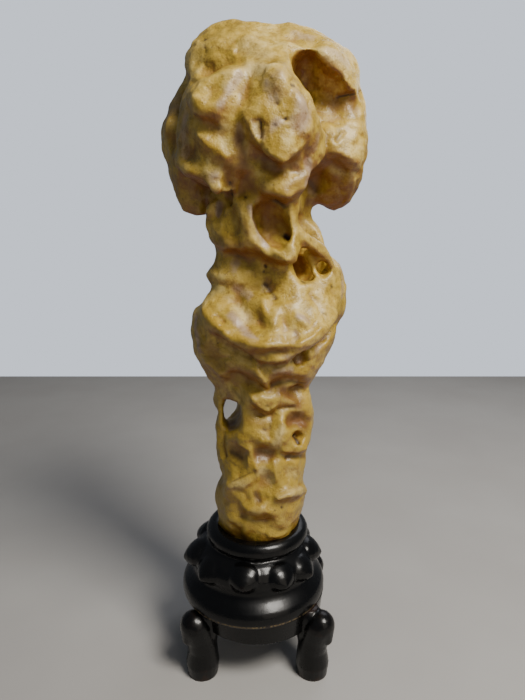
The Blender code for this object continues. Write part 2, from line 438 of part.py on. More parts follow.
STROKES = (
    # the crown
    Stroke("crown_dip", -3, 26, (
        (4, 584), (14, 579),
    )),
    Stroke("crown_scoop", -4, 16, (
        (-40, 558), (-27, 565), (-14, 566),
    )),
    Stroke("crown_scoop_left", -4, 12, (
        (-51, 557), (-44, 551),
    )),
    Stroke("ledge_a", -2, 6, (
        (-55, 571), (-45, 572), (-35, 572), (-24, 575),
    )),
    Stroke("ledge_a_lip", 1, 7, (
        (-54, 577), (-42, 578), (-29, 580),
    )),
    Stroke("ledge_b", -2, 6, (
        (-38, 558), (-28, 559), (-17, 556),
    )),
    Stroke("ledge_b_lip", 0.8, 6, (
        (-36, 563), (-25, 563), (-17, 564),
    )),
    Stroke("crack", -2, 2.2, (
        (-46, 577), (-45, 567), (-45, 556),
    )),
    Stroke("crown_shoulder", 3, 12, (
        (51, 571), (61, 567), (72, 561),
    )),
    Stroke("crown_saddle", -4, 12, (
        (27, 581), (39, 575),
    )),
    Stroke("left_nook", -3, 8, (
        (-57, 550), (-60, 547),
    )),
    # the nose and cheek
    Stroke("nose_ridge", 2.2, 8, (
        (-20, 545), (-24, 536), (-30, 528), (-33, 517),
    )),
    Stroke("nose_lobe", 1.5, 12, (
        (-50, 527), (-42, 525),
    )),
    Stroke("nose_step", -1, 8, (
        (-38, 535), (-40, 528),
    )),
    Stroke("valley", -3, 11, (
        (-9, 547), (-12, 536), (-15, 526),
    )),
    Stroke("valley_low", -1, 9, (
        (-20, 519), (-22, 511), (-22, 501),
    )),
    Stroke("under_nose", -1.5, 9, (
        (-47, 509), (-42, 507), (-36, 504),
    )),
    Stroke("under_nose_b", -1, 8, (
        (-44, 502), (-37, 497),
    )),
    Stroke("trough", -1.5, 10, (
        (-20, 500), (-17, 489), (-14, 480),
    )),
    Stroke("cheek_ridge", 2, 8, (
        (-47, 500), (-39, 494), (-28, 485),
    )),
    Stroke("cheek_under", -3, 9, (
        (-44, 483), (-35, 478), (-26, 474),
    )),
    Stroke("side_hollow", -4, 12, (
        (-61, 502), (-58, 492),
    )),
    Stroke("lobe_ridge", 2.2, 9, (
        (-64, 480), (-52, 471), (-40, 461), (-34, 458),
    )),
    Stroke("lobe_step", -3, 6, (
        (-32, 469), (-27, 464),
    )),
    Stroke("jaw_cleft", -7, 6, (
        (-26, 470), (-25, 461), (-29, 456),
    )),
    Stroke("jaw_recess", -3.5, 13, (
        (-13, 470), (-8, 463),
    )),
    # the brow and jaw
    Stroke("brow_bump", 4, 12, (
        (7, 542), (16, 537),
    )),
    Stroke("brow_bump_b", 4, 12, (
        (26, 523), (29, 515),
    )),
    Stroke("brow_dip", -3, 7, (
        (10, 525), (4, 520),
    )),
    Stroke("brow_dip_b", -2.5, 7, (
        (20, 528), (16, 517),
    )),
    Stroke("chin_ridge", 1.8, 7, (
        (-15, 514), (-11, 507), (-5, 497), (4, 486), (14, 481),
    )),
    Stroke("chin_tip", 2, 9, (
        (10, 488), (15, 481),
    )),
    Stroke("chin_right_ridge", 1.5, 6.5, (
        (16, 481), (24, 487), (32, 493),
    )),
    Stroke("slit_floor", -4, 4.5, (
        (-4, 506), (-3, 499),
    )),
    Stroke("slit_edge", -4, 2.5, (
        (-1, 509), (0, 496),
    )),
    Stroke("pit_a", -3, 2.5, (
        (17, 509), (17, 508),
    )),
    Stroke("pit_b", -2.5, 2.5, (
        (21, 535), (23, 534),
    )),
    Stroke("pit_c", -2, 2.5, (
        (9, 506), (10, 505),
    )),
    Stroke("pit_d", -2, 2, (
        (10, 520), (11, 519),
    )),
    Stroke("under_chin", -5, 10, (
        (-5, 484), (4, 477), (17, 472), (28, 478),
    )),
    Stroke("face_right_hollow", -2.5, 8, (
        (30, 495), (34, 490),
    )),
    Stroke("jaw_right_hollow", -3, 7, (
        (36, 485), (37, 478),
    )),
    Stroke("jaw_ridge", 2.6, 8, (
        (0, 465), (9, 460), (19, 457),
    )),
    Stroke("jaw_facet", 2, 9, (
        (22, 466), (30, 470),
    )),
    Stroke("jaw_pit", -2, 5, (
        (25, 475), (31, 474),
    )),
    Stroke("edge_brow", 2.5, 6, (
        (27, 538), (35, 527), (40, 518), (45, 507),
    )),
    # the right lobe
    Stroke("lobe_facet", -2, 10, (
        (70, 512), (75, 502),
    )),
    Stroke("lobe_pit", -2, 4, (
        (62, 503), (66, 508),
    )),
    Stroke("lobe_rib", 2.5, 7, (
        (51, 507), (56, 501), (55, 495),
    )),
    Stroke("lobe_rib_b", 1.8, 7, (
        (63, 495), (74, 490), (83, 485),
    )),
    Stroke("lobe_undercut", -6, 8, (
        (60, 484), (71, 478),
    )),
    Stroke("lobe_low_rib", 3, 6, (
        (79, 477), (80, 464), (76, 454),
    )),
    Stroke("crack_right", -4, 2.2, (
        (64, 540), (73, 540), (82, 544),
    )),
    Stroke("stria_a", -1, 2.5, (
        (54, 525), (66, 528), (78, 525),
    )),
    Stroke("stria_b", -0.8, 2.5, (
        (55, 519), (68, 523), (79, 519),
    )),
    # the left lobe
    Stroke("lobe_left_a", -4, 9, (
        (-78, 506), (-74, 493),
    )),
    Stroke("lobe_left_b", 1.5, 8, (
        (-82, 522), (-88, 514),
    )),
    Stroke("lobe_left_c", -5, 10, (
        (-69, 464), (-62, 456),
    )),
    Stroke("lobe_left_d", 3, 7, (
        (-77, 461), (-70, 448), (-57, 445),
    )),
    # the neck
    Stroke("neck_a", -6, 8, (
        (-40, 448), (-33, 452),
    )),
    Stroke("neck_a_dark", -2, 5, (
        (-37, 450), (-36, 442),
    )),
    Stroke("neck_b", 4, 8, (
        (-40, 432), (-31, 425), (-21, 418),
    )),
    Stroke("neck_c", -5, 7, (
        (-25, 444), (-20, 436),
    )),
    Stroke("neck_ridge", 3, 5, (
        (-16, 450), (-15, 441), (-12, 431),
    )),
    Stroke("neck_low", -4, 11, (
        (-30, 406), (-16, 403), (0, 401),
    )),
    Stroke("neck_low_b", -4, 9, (
        (0, 394), (12, 398),
    )),
    Stroke("collar_ridge", 3, 6, (
        (-46, 391), (-34, 389), (-21, 387),
    )),
    Stroke("scoop_lip", 2, 5, (
        (-11, 446), (-9, 433), (-2, 422), (8, 413), (21, 405),
    )),
    Stroke("scoop_lip_r", 1.6, 5, (
        (24, 449), (25, 436), (25, 422), (24, 410),
    )),
    Stroke("scoop_spine", 3, 6, (
        (18, 443), (22, 435),
    )),
    Stroke("strut_groove", -4, 5, (
        (42, 454), (46, 438),
    )),
    # the bowl
    Stroke("bowl_top_a", -5, 12, (
        (-23, 370), (-14, 361), (-11, 350),
    )),
    Stroke("bowl_top_ridge", 4, 8, (
        (0, 368), (1, 360),
    )),
    Stroke("dimple_a", -3.5, 7, (
        (-2, 355), (0, 351),
    )),
    Stroke("dimple_b", -3.5, 8, (
        (20, 354), (20, 342),
    )),
    Stroke("bowl_knob", 5, 8, (
        (30, 357), (35, 352),
    )),
    Stroke("bowl_knob_b", 3, 7, (
        (11, 362), (10, 351),
    )),
    Stroke("dimple_c", -4, 7, (
        (43, 374), (48, 365),
    )),
    Stroke("dimple_d", -2.5, 6, (
        (28, 347), (29, 343),
    )),
    Stroke("rim_left", 3, 7, (
        (-50, 359), (-42, 352), (-31, 345),
    )),
    Stroke("pocket_left", -3, 6, (
        (-36, 355), (-31, 351),
    )),
    Stroke("rim_mid", 3, 6, (
        (-15, 340), (0, 336), (16, 337),
    )),
    Stroke("rim_right", 3, 6, (
        (31, 336), (42, 341), (51, 348),
    )),
    Stroke("under_rim", -7, 9, (
        (-41, 336), (-26, 328), (-11, 322),
    )),
    Stroke("under_rim_b", -3.5, 7, (
        (5, 330), (18, 330),
    )),
    Stroke("drip", 4, 5, (
        (-6, 323), (8, 319), (18, 324), (28, 327),
    )),
    Stroke("drip_under", -4.5, 7, (
        (0, 313), (13, 315), (29, 317),
    )),
    Stroke("side_groove", -5, 5, (
        (36, 323), (45, 327), (56, 335),
    )),
    Stroke("side_pit", -3, 4, (
        (48, 331), (51, 329),
    )),
    Stroke("side_knob", 3, 5, (
        (42, 316), (39, 306),
    )),
    Stroke("left_flank", -4, 10, (
        (-45, 323), (-40, 311),
    )),
    Stroke("flank_ridge", 3, 7, (
        (-57, 324), (-50, 312), (-38, 303),
    )),
    Stroke("beak_left", -6, 9, (
        (-24, 302), (-15, 295),
    )),
    Stroke("beak_ridge", 4, 5, (
        (-6, 311), (1, 301), (4, 291),
    )),
    Stroke("beak_under", -4, 7, (
        (9, 295), (19, 300), (32, 298),
    )),
    # the column
    Stroke("under_bowl", -5, 6, (
        (-24, 289), (-19, 278),
    )),
    Stroke("tongue_edge", 3, 4, (
        (-9, 285), (-4, 276), (7, 269), (14, 275),
    )),
    Stroke("tongue_under", -6, 5, (
        (-10, 270), (0, 263), (9, 265),
    )),
    Stroke("bracket_under", -4, 6, (
        (12, 267), (20, 270), (29, 268),
    )),
    Stroke("bulge_low", 3, 7, (
        (41, 271), (45, 258),
    )),
    Stroke("cheek", -7, 9, (
        (27, 258), (37, 257),
    )),
    Stroke("cheek_b", -4, 5, (
        (43, 251), (43, 242),
    )),
    Stroke("spine_a", 4, 4, (
        (18, 266), (16, 256), (12, 245),
    )),
    Stroke("spine_b", -4, 5, (
        (7, 258), (5, 250),
    )),
    Stroke("spine_c", 3, 5, (
        (-11, 250), (0, 243), (9, 236),
    )),
    Stroke("pock_rim", 2.5, 6, (
        (25, 245), (35, 230),
    )),
    Stroke("ledge", 4, 5, (
        (20, 234), (31, 230), (41, 230),
    )),
    Stroke("ledge_under", -5, 6, (
        (20, 225), (31, 223), (42, 217),
    )),
    Stroke("belly", -4, 13, (
        (-27, 226), (-21, 220),
    )),
    Stroke("belly_b", -2.5, 9, (
        (-4, 231), (7, 229),
    )),
    Stroke("left_groove", -4, 4, (
        (-38, 239), (-38, 227), (-37, 218),
    )),
    Stroke("belly_ridge", 3, 5, (
        (-15, 242), (-12, 230), (-13, 219),
    )),
    Stroke("crack_low", -1.2, 2, (
        (-27, 199), (-15, 207), (-4, 216), (5, 219),
    )),
    Stroke("spur_a", 3, 3, (
        (10, 221), (12, 211), (11, 203),
    )),
    Stroke("facet_a", -4, 7, (
        (1, 210), (4, 203),
    )),
    Stroke("facet_b", -4, 8, (
        (22, 212), (28, 205),
    )),
    Stroke("knee_a", 4, 6, (
        (-33, 194), (-21, 199), (-10, 205),
    )),
    Stroke("knee_under", -4.5, 8, (
        (-35, 174), (-25, 176), (-21, 166),
    )),
    Stroke("knee_arc", -2, 5, (
        (-25, 193), (-17, 188), (-14, 178),
    )),
    Stroke("pit_low", -5, 6, (
        (-5, 192), (-2, 185),
    )),
    Stroke("lump", 4.5, 8, (
        (-12, 174), (-2, 177), (7, 174),
    )),
    Stroke("lump_under", -3.5, 8, (
        (-17, 164), (-6, 159), (9, 159),
    )),
    Stroke("ankle_lip", 5, 5, (
        (13, 188), (24, 190), (36, 186),
    )),
    Stroke("ankle_under", -4.5, 8, (
        (20, 178), (32, 174),
    )),
    Stroke("root_dent", -3, 7, (
        (-27, 150), (-24, 143),
    )),
    Stroke("root_dent_b", -1.5, 8, (
        (15, 149), (23, 151),
    )),
)


def linear(hex_colour):
    """An sRGB hex colour as linear RGBA."""
    channels = [int(hex_colour[place:place + 2], 16) / 255 for place in (1, 3, 5)]
    return [c / 12.92 if c <= 0.04045 else ((c + 0.055) / 1.055) ** 2.4 for c in channels] + [1.0]


def finish(item, look):
    """Gives an object its own Principled material."""
    colour, roughness, metallic = look
    material = bpy.data.materials.new(item.name + "_finish")
    material.use_nodes = True
    shader = material.node_tree.nodes["Principled BSDF"]
    shader.inputs["Base Color"].default_value = linear(colour)
    shader.inputs["Roughness"].default_value = roughness
    shader.inputs["Metallic"].default_value = metallic
    item.data.materials.clear()
    item.data.materials.append(material)


def new_object(name, work):
    """Puts a finished bmesh into the scene as an object."""
    mesh = bpy.data.meshes.new(name)
    work.to_mesh(mesh)
    work.free()
    item = bpy.data.objects.new(name, mesh)
    bpy.context.scene.collection.objects.link(item)
    return item


def hide_as_cutter(item):
    item.hide_render = True
    item.display_type = "WIRE"
    return item


def add_hull(work, points):
    """Adds the closed convex skin of some points to a bmesh."""
    corners = [work.verts.new(point) for point in points]
    hull = bmesh.ops.convex_hull(work, input=corners)
    idle = {v for v in hull["geom_interior"] + hull["geom_unused"] if isinstance(v, bmesh.types.BMVert)}
    bmesh.ops.delete(work, geom=list(idle), context="VERTS")


def ball_points(middle, radius, count=48):
    """Points spread evenly over a ball, on a spiral from pole to pole."""
    golden_turn = math.pi * (3 - math.sqrt(5))
    points = []
    for step in range(count):
        height = 1 - 2 * (step + 0.5) / count
        reach = math.sqrt(1 - height * height)
        way = Vector((reach * math.cos(golden_turn * step), reach * math.sin(golden_turn * step), height))
        points.append(Vector(middle) + way * radius)
    return points


def add_bar(work, stations):
    """Adds a tapering bar: the hull of the balls at each pair of neighbouring stations."""
    balls = [ball_points(Vector(station[:3]) * MM, station[3] * MM) for station in stations]
    for start, end in zip(balls, balls[1:]):
        add_hull(work, start + end)


def hollow_cutter(name, hollows):
    """One hidden object that holds a stretched ball for each hollow, fused together."""
    work = bmesh.new()
    for hollow in hollows:
        turn = Euler([math.radians(angle) for angle in hollow.turn]).to_matrix().to_4x4()
        stretch = Matrix.Diagonal((*(half * MM for half in hollow.half), 1.0))
        matrix = Matrix.Translation(Vector(hollow.at) * MM) @ turn @ stretch
        bmesh.ops.create_icosphere(work, subdivisions=3, radius=1.0, matrix=matrix)
    cutter = hide_as_cutter(new_object(name, work))
    fuse(cutter, COARSE_VOXEL, HOLLOW_SMOOTHING)
    return cutter


def fuse(item, voxel, steps):
    """Joins overlapping shapes into one skin, then smooths it."""
    remesh = item.modifiers.new("fuse", "REMESH")
    remesh.mode = "VOXEL"
    remesh.voxel_size = voxel
    remesh.use_smooth_shade = True
    smooth = item.modifiers.new("smooth", "SMOOTH")
    smooth.factor = 0.5
    smooth.iterations = steps


def subtract(item, cutter):
    cut = item.modifiers.new("cut_" + cutter.name, "BOOLEAN")
    cut.operation = "DIFFERENCE"
    cut.solver = "EXACT"
    cut.object = cutter


def thin_out(item, triangles):
    """Lowers an object's triangle count by joining its flattest neighbours."""
    graph = bpy.context.evaluated_depsgraph_get()
    fine = 2 * len(item.evaluated_get(graph).data.polygons)
    decimate = item.modifiers.new("thin_out", "DECIMATE")
    decimate.ratio = triangles / fine
    decimate.use_collapse_triangulate = True


def settle(item):
    """Replaces an object's mesh by what its modifiers make of it."""
    graph = bpy.context.evaluated_depsgraph_get()
    rough = item.data
    item.data = bpy.data.meshes.new_from_object(item.evaluated_get(graph))
    item.modifiers.clear()
    bpy.data.meshes.remove(rough)


def seat_cutter(item):
    """A hidden copy of an object, larger all round by PLAY, that cuts its seat."""
    cutter = item.copy()
    cutter.name = item.name + "_seat"
    cutter.data = item.data.copy()
    bpy.context.scene.collection.objects.link(cutter)
    swell = cutter.modifiers.new("swell", "DISPLACE")
    swell.strength = PLAY
    swell.mid_level = 0.0
    return hide_as_cutter(cutter)


def box_cutter(name, bottom, top):
    """A hidden wide box between two heights, that trims a piece flat."""
    work = bmesh.new()
    half = CUT_BOX_HALF
    add_hull(work, [Vector((x, y, z)) for x in (-half, half) for y in (-half, half) for z in (bottom, top)])
    bmesh.ops.recalc_face_normals(work, faces=work.faces)
    return hide_as_cutter(new_object(name, work))


def distance_to_bar(places, start, end):
    """How far each place is from the line between two points."""
    along = end - start
    share = np.clip((places - start) @ along / max(along @ along, 1e-12), 0, 1)
    return np.linalg.norm(places - start - share[:, None] * along, axis=1)


def place_on_skin(tree, station):
    """Where a station lies on the skin: straight back from the front, or the nearest place."""
    if len(station) == 3:
        return np.array(tree.find_nearest(station)[0])
    start = Vector((station[0], -FRONT, station[1])) * MM
    middle = Vector((station[0], 0, station[1])) * MM
    return np.array(tree.ray_cast(start, Vector((0, 1, 0)))[0] or tree.find_nearest(middle)[0])


def carve(mesh, strokes):
    """Moves the skin along its normals by all strokes."""
    count = len(mesh.vertices)
    places = np.empty(count * 3)
    mesh.vertices.foreach_get("co", places)
    places = places.reshape(-1, 3)
    normals = np.empty(count * 3, np.float32)
    mesh.vertex_normals.foreach_get("vector", normals)
    normals = normals.reshape(-1, 3)
    tree = BVHTree.FromPolygons(
        [vertex.co for vertex in mesh.vertices],
        [tuple(face.vertices) for face in mesh.polygons],
    )
    moved = np.zeros_like(places)
    for stroke in strokes:
        line = [place_on_skin(tree, station) for station in stroke.stations]
        reach = stroke.reach * MM
        low = np.min(line, axis=0) - reach
        high = np.max(line, axis=0) + reach
        near = np.flatnonzero(((places > low) & (places < high)).all(axis=1))
        gap = np.full(len(near), np.inf)
        for start, end in zip(line, line[1:]):
            gap = np.minimum(gap, distance_to_bar(places[near], start, end))
        weight = np.clip(1 - (gap / reach) ** 2, 0, 1) ** 2
        moved[near] += normals[near] * (weight * stroke.rise * MM)[:, None]
    mesh.vertices.foreach_set("co", (places + moved).ravel())
    mesh.update()


def weathering(mesh):
    """Strokes strewn by rule over the sides and back of the stone."""
    dice = np.random.default_rng(WEATHER_SEED)
    spots = [v for v in mesh.vertices if v.normal.y > WEATHER_FACING and v.co.z > WEATHER_FLOOR]
    strokes = []
    for number in range(WEATHER_STROKES):
        spot = spots[dice.integers(len(spots))]
        way = Vector(dice.normal(size=3)).cross(spot.normal).normalized()
        length = dice.uniform(*WEATHER_LENGTH) * MM
        ends = [spot.co + way * share * length for share in (-0.5, 0.0, 0.5)]
        rise = dice.uniform(*WEATHER_RISE) if number % 3 == 0 else dice.uniform(*WEATHER_DENT)
        strokes.append(Stroke("weathering", rise, dice.uniform(*WEATHER_REACH), ends))
    return strokes


def ripple(mesh):
    """Swells and sinks the skin unevenly: gently in front, more on the sides and back."""
    normals = [vertex.normal.copy() for vertex in mesh.vertices]
    for vertex, normal in zip(mesh.vertices, normals):
        share = min(max(0.5 + 1.5 * normal.y, RIPPLE_FRONT_SHARE), 1.0)
        for length, height in RIPPLES:
            vertex.co += normal * (share * height * noise.noise(vertex.co / length))
    mesh.update()


def build_rock():
    """The stone: masses and limbs fused, hollowed out, then worn along the skin."""
    work = bmesh.new()
    for chunk in CHUNKS:
        add_hull(work, [Vector(corner) * MM for corner in chunk.corners])
    for limb in LIMBS:
        add_bar(work, limb.stations)
    rock = new_object("rock", work)
    fuse(rock, COARSE_VOXEL, MASS_SMOOTHING)
    subtract(rock, hollow_cutter("rock_hollows", HOLLOWS))
    fuse(rock, FINE_VOXEL, SKIN_SMOOTHING)
    settle(rock)
    carve(rock.data, STROKES + tuple(weathering(rock.data)))
    ripple(rock.data)
    fuse(rock, FINE_VOXEL, SKIN_SMOOTHING)
    thin_out(rock, ROCK_TRIANGLES)
    settle(rock)
    finish(rock, STONE)
    return rock


def ring_points(middle, radius, height, sides):
    """Points round a level circle, or its middle alone where the radius is nought."""
    count = sides if radius else 1
    turns = [2 * math.pi * step / sides for step in range(count)]
    return [
        Vector((middle[0] + radius * math.cos(turn), middle[1] + radius * math.sin(turn), height)) * MM
        for turn in turns
    ]


def add_turned(work, outline, sides, middle, ring=False):
    """Adds a shape turned about an upright line; a ring's outline closes on itself."""
    rings = [[work.verts.new(point) for point in ring_points(middle, *spot, sides)] for spot in outline]
    pairs = list(zip(rings, rings[1:]))
    if ring:
        pairs.append((rings[-1], rings[0]))
    for low, high in pairs:
        for step in range(sides):
            after = (step + 1) % sides
            corners = (
                low[step % len(low)], low[after % len(low)],
                high[after % len(high)], high[step % len(high)],
            )
            work.faces.new(dict.fromkeys(corners))
    bmesh.ops.recalc_face_normals(work, faces=work.faces)


def add_knob(work, knob):
    """Adds a broad swelling on the body's wall that runs out to a small blunt point."""
    bearing = math.radians(knob.bearing)
    out = Vector((math.sin(bearing), -math.cos(bearing), 0))
    side = Vector((math.cos(bearing), math.sin(bearing), 0))
    foot = Vector((*BODY_MIDDLE, knob.height))
    points = ball_points((foot + out * (knob.reach - POINT_TIP)) * MM, POINT_TIP * MM)
    for setback, half_width, half_height, lift in KNOB_RINGS:
        middle = foot + out * (knob.reach - setback) + Vector((0, 0, lift))
        for step in range(KNOB_RING_POINTS):
            turn = 2 * math.pi * step / KNOB_RING_POINTS
            spot = middle + side * (half_width * math.cos(turn)) + Vector((0, 0, half_height * math.sin(turn)))
            points.append(spot * MM)
    add_hull(work, points)


def collar_outline(facets=16):
    """Section of the collar as (radius, height)."""
    turns = [2 * math.pi * step / facets for step in range(facets)]
    return [
        (COLLAR_RADIUS + COLLAR_HALF * math.cos(turn), COLLAR_MIDDLE[2] + COLLAR_HALF * math.sin(turn))
        for turn in turns
    ]


def build_body(rock):
    """The turned and carved body of the stand, with its collar and the rock's socket."""
    work = bmesh.new()
    add_turned(work, BODY_OUTLINE, BODY_SIDES, BODY_MIDDLE)
    add_turned(work, collar_outline(), BODY_SIDES, COLLAR_MIDDLE, ring=True)
    for knob in KNOBS:
        add_knob(work, knob)
    body = new_object("stand_body", work)
    fuse(body, STAND_VOXEL, STAND_SMOOTHING)
    thin_out(body, BODY_TRIANGLES)
    subtract(body, box_cutter("body_floor", 0.0, BODY_BOTTOM))
    subtract(body, seat_cutter(rock))
    finish(body, LACQUER)
    return body


def build_leg(name, side, end):
    """One leg: a knee that stands proud, a slimmer shank and a swelling foot."""
    work = bmesh.new()
    for bar in (LEG_SHANK, LEG_KNUCKLE, LEG_ROOT):
        add_bar(work, [(LEG_MIDDLE[0] + x * side, LEG_MIDDLE[1] + y * end, z, r) for x, y, z, r in bar])
    leg = new_object(name, work)
    fuse(leg, STAND_VOXEL, STAND_SMOOTHING)
    thin_out(leg, LEG_TRIANGLES)
    subtract(leg, box_cutter(name + "_floor", -CUT_BOX_HALF, 0.0))
    subtract(leg, box_cutter(name + "_ceiling", LEG_TOP, CUT_BOX_HALF * 2))
    settle(leg)
    finish(leg, LACQUER)
    return leg


def build_apron(legs):
    """The band under the body that the legs are let into."""
    work = bmesh.new()
    add_turned(work, APRON_OUTLINE, APRON_SIDES, LEG_MIDDLE, ring=True)
    apron = new_object("apron", work)
    apron.data.shade_smooth()
    apron.data.set_sharp_from_angle(angle=math.radians(35))
    for leg in legs:
        subtract(apron, seat_cutter(leg))
    finish(apron, LACQUER)
    return apron


def main():
    for item in list(bpy.data.objects):
        bpy.data.objects.remove(item)
    build_body(build_rock())
    build_apron([
        build_leg("leg_front_left", -1, -1),
        build_leg("leg_front_right", 1, -1),
        build_leg("leg_rear_left", -1, 1),
        build_leg("leg_rear_right", 1, 1),
    ])


if __name__ == "__main__":
    main()
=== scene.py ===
"""Looks of a tall yellow scholar's rock that stands in a black lacquered wood stand.

The rock is one waxed stone: its skin is the solid's own skin drawn finer, worn by small
strokes, and tinted where minerals, wax and dirt colour it, with painted shade in its
hollows, bends and undersides and painted highlight on its crests and tops.  The stand
is a turned and carved body with a collar, a band below it, and four legs let into the band.

Units are metres and +Z is up.  Places and sizes are written in millimetres and scaled
by MM.  The viewer stands on the -Y side.  What lies on the stone's front is placed by
spots of the camera's view: the line of sight through a spot carries it to the skin.
"""

from __future__ import annotations

import json
import logging
import math
from dataclasses import dataclass
from enum import Enum
from typing import NamedTuple, Sequence

import bmesh
import bpy
import numpy as np
from mathutils import Euler, Matrix, Vector, noise
from mathutils.bvhtree import BVHTree

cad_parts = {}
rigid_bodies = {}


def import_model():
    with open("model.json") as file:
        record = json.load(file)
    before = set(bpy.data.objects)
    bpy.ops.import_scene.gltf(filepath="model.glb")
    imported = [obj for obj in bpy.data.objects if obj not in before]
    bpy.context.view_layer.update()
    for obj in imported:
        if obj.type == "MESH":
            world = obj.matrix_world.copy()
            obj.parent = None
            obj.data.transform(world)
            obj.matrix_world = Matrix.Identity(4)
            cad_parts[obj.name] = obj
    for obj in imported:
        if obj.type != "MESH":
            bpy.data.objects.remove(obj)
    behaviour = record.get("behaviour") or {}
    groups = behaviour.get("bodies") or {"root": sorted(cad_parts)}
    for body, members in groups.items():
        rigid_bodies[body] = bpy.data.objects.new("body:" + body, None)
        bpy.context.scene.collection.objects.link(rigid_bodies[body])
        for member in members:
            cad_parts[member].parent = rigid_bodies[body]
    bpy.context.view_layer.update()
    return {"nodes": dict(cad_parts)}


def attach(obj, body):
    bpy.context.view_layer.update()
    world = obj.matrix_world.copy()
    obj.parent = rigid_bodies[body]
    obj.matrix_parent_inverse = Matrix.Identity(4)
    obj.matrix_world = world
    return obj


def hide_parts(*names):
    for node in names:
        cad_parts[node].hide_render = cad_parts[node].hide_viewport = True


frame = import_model()

MM = 0.001
# Corners closer than this are one corner, and corners this close to a cut are on it.
WELD = 1e-6
ON_CUT = 1e-7
# How finely the balls are drawn that bars and knobs are hulls of.
BALL_LEVELS = 3
# A Mix node's colour sockets go by number, because several sockets share their names.
MIX_UNDER, MIX_OVER, MIX_RESULT = 6, 7, 2
log = logging.getLogger("scholars_rock")

Place = Sequence[float]
Line = tuple[Place, ...]


# --- the camera's view ------------------------------------------------------------------
@dataclass(frozen=True)
class View:
    """The camera: where it stands in metres, its tilt in degrees, and its lens in mm.

    A spot of the view is (across, down) in points from the view's upper left corner.
    """

    place: tuple[float, float, float] = (0.0, -0.494, 0.423)
    tilt: float = 78.0
    lens: float = 27.05
    sensor: float = 36.0
    size: tuple[int, int] = (525, 700)

    def sight(self, spot: Place) -> Vector:
        """The direction of the line of sight through a spot.

        Args:
            spot: The spot of the view.

        Returns:
            The direction, of length 1.
        """
        width, height = self.size
        away = self.lens / self.sensor * max(self.size)
        direction = Vector((spot[0] - width / 2, height / 2 - spot[1], -away))
        direction.rotate(Euler((math.radians(self.tilt), 0, 0)))
        return direction.normalized()


VIEW = View()


# --- what the rock's surface carries ----------------------------------------------------
class Tint(Enum):
    """The colours that lie on the stone in patches, each kept as a value at every point: the brown wash is
    painted shade, the pale wash painted highlight, and the darkest wash is dirt in pits and cracks with
    painted shade under ledges.
    """

    MAUVE = "mauve"
    MUSTARD = "mustard"
    SHADE_WASH = "shade_wash"
    PAINTED_HIGHLIGHT = "pale"
    DIRT_AND_SHADE = "dirt_and_shade"


class Mark(NamedTuple):
    """A small stroke that swells the skin by its rise, or dents it where that is negative.

    Its rise and reach are in mm.  Its stations are spots of the camera's view, or whole
    places in metres.
    """

    name: str
    rise: float
    reach: float
    stations: Line


class Hatch(NamedTuple):
    """A row of equal scratches, spread evenly from a first line to a last one.

    Its rise and reach are in mm, and both lines are spots of the camera's view.
    """

    name: str
    count: int
    rise: float
    reach: float
    first: Line
    last: Line


class Wash(NamedTuple):
    """A soft patch of a tint along a line: its reach in mm, strength and stations."""

    reach: float
    strength: float
    stations: Line


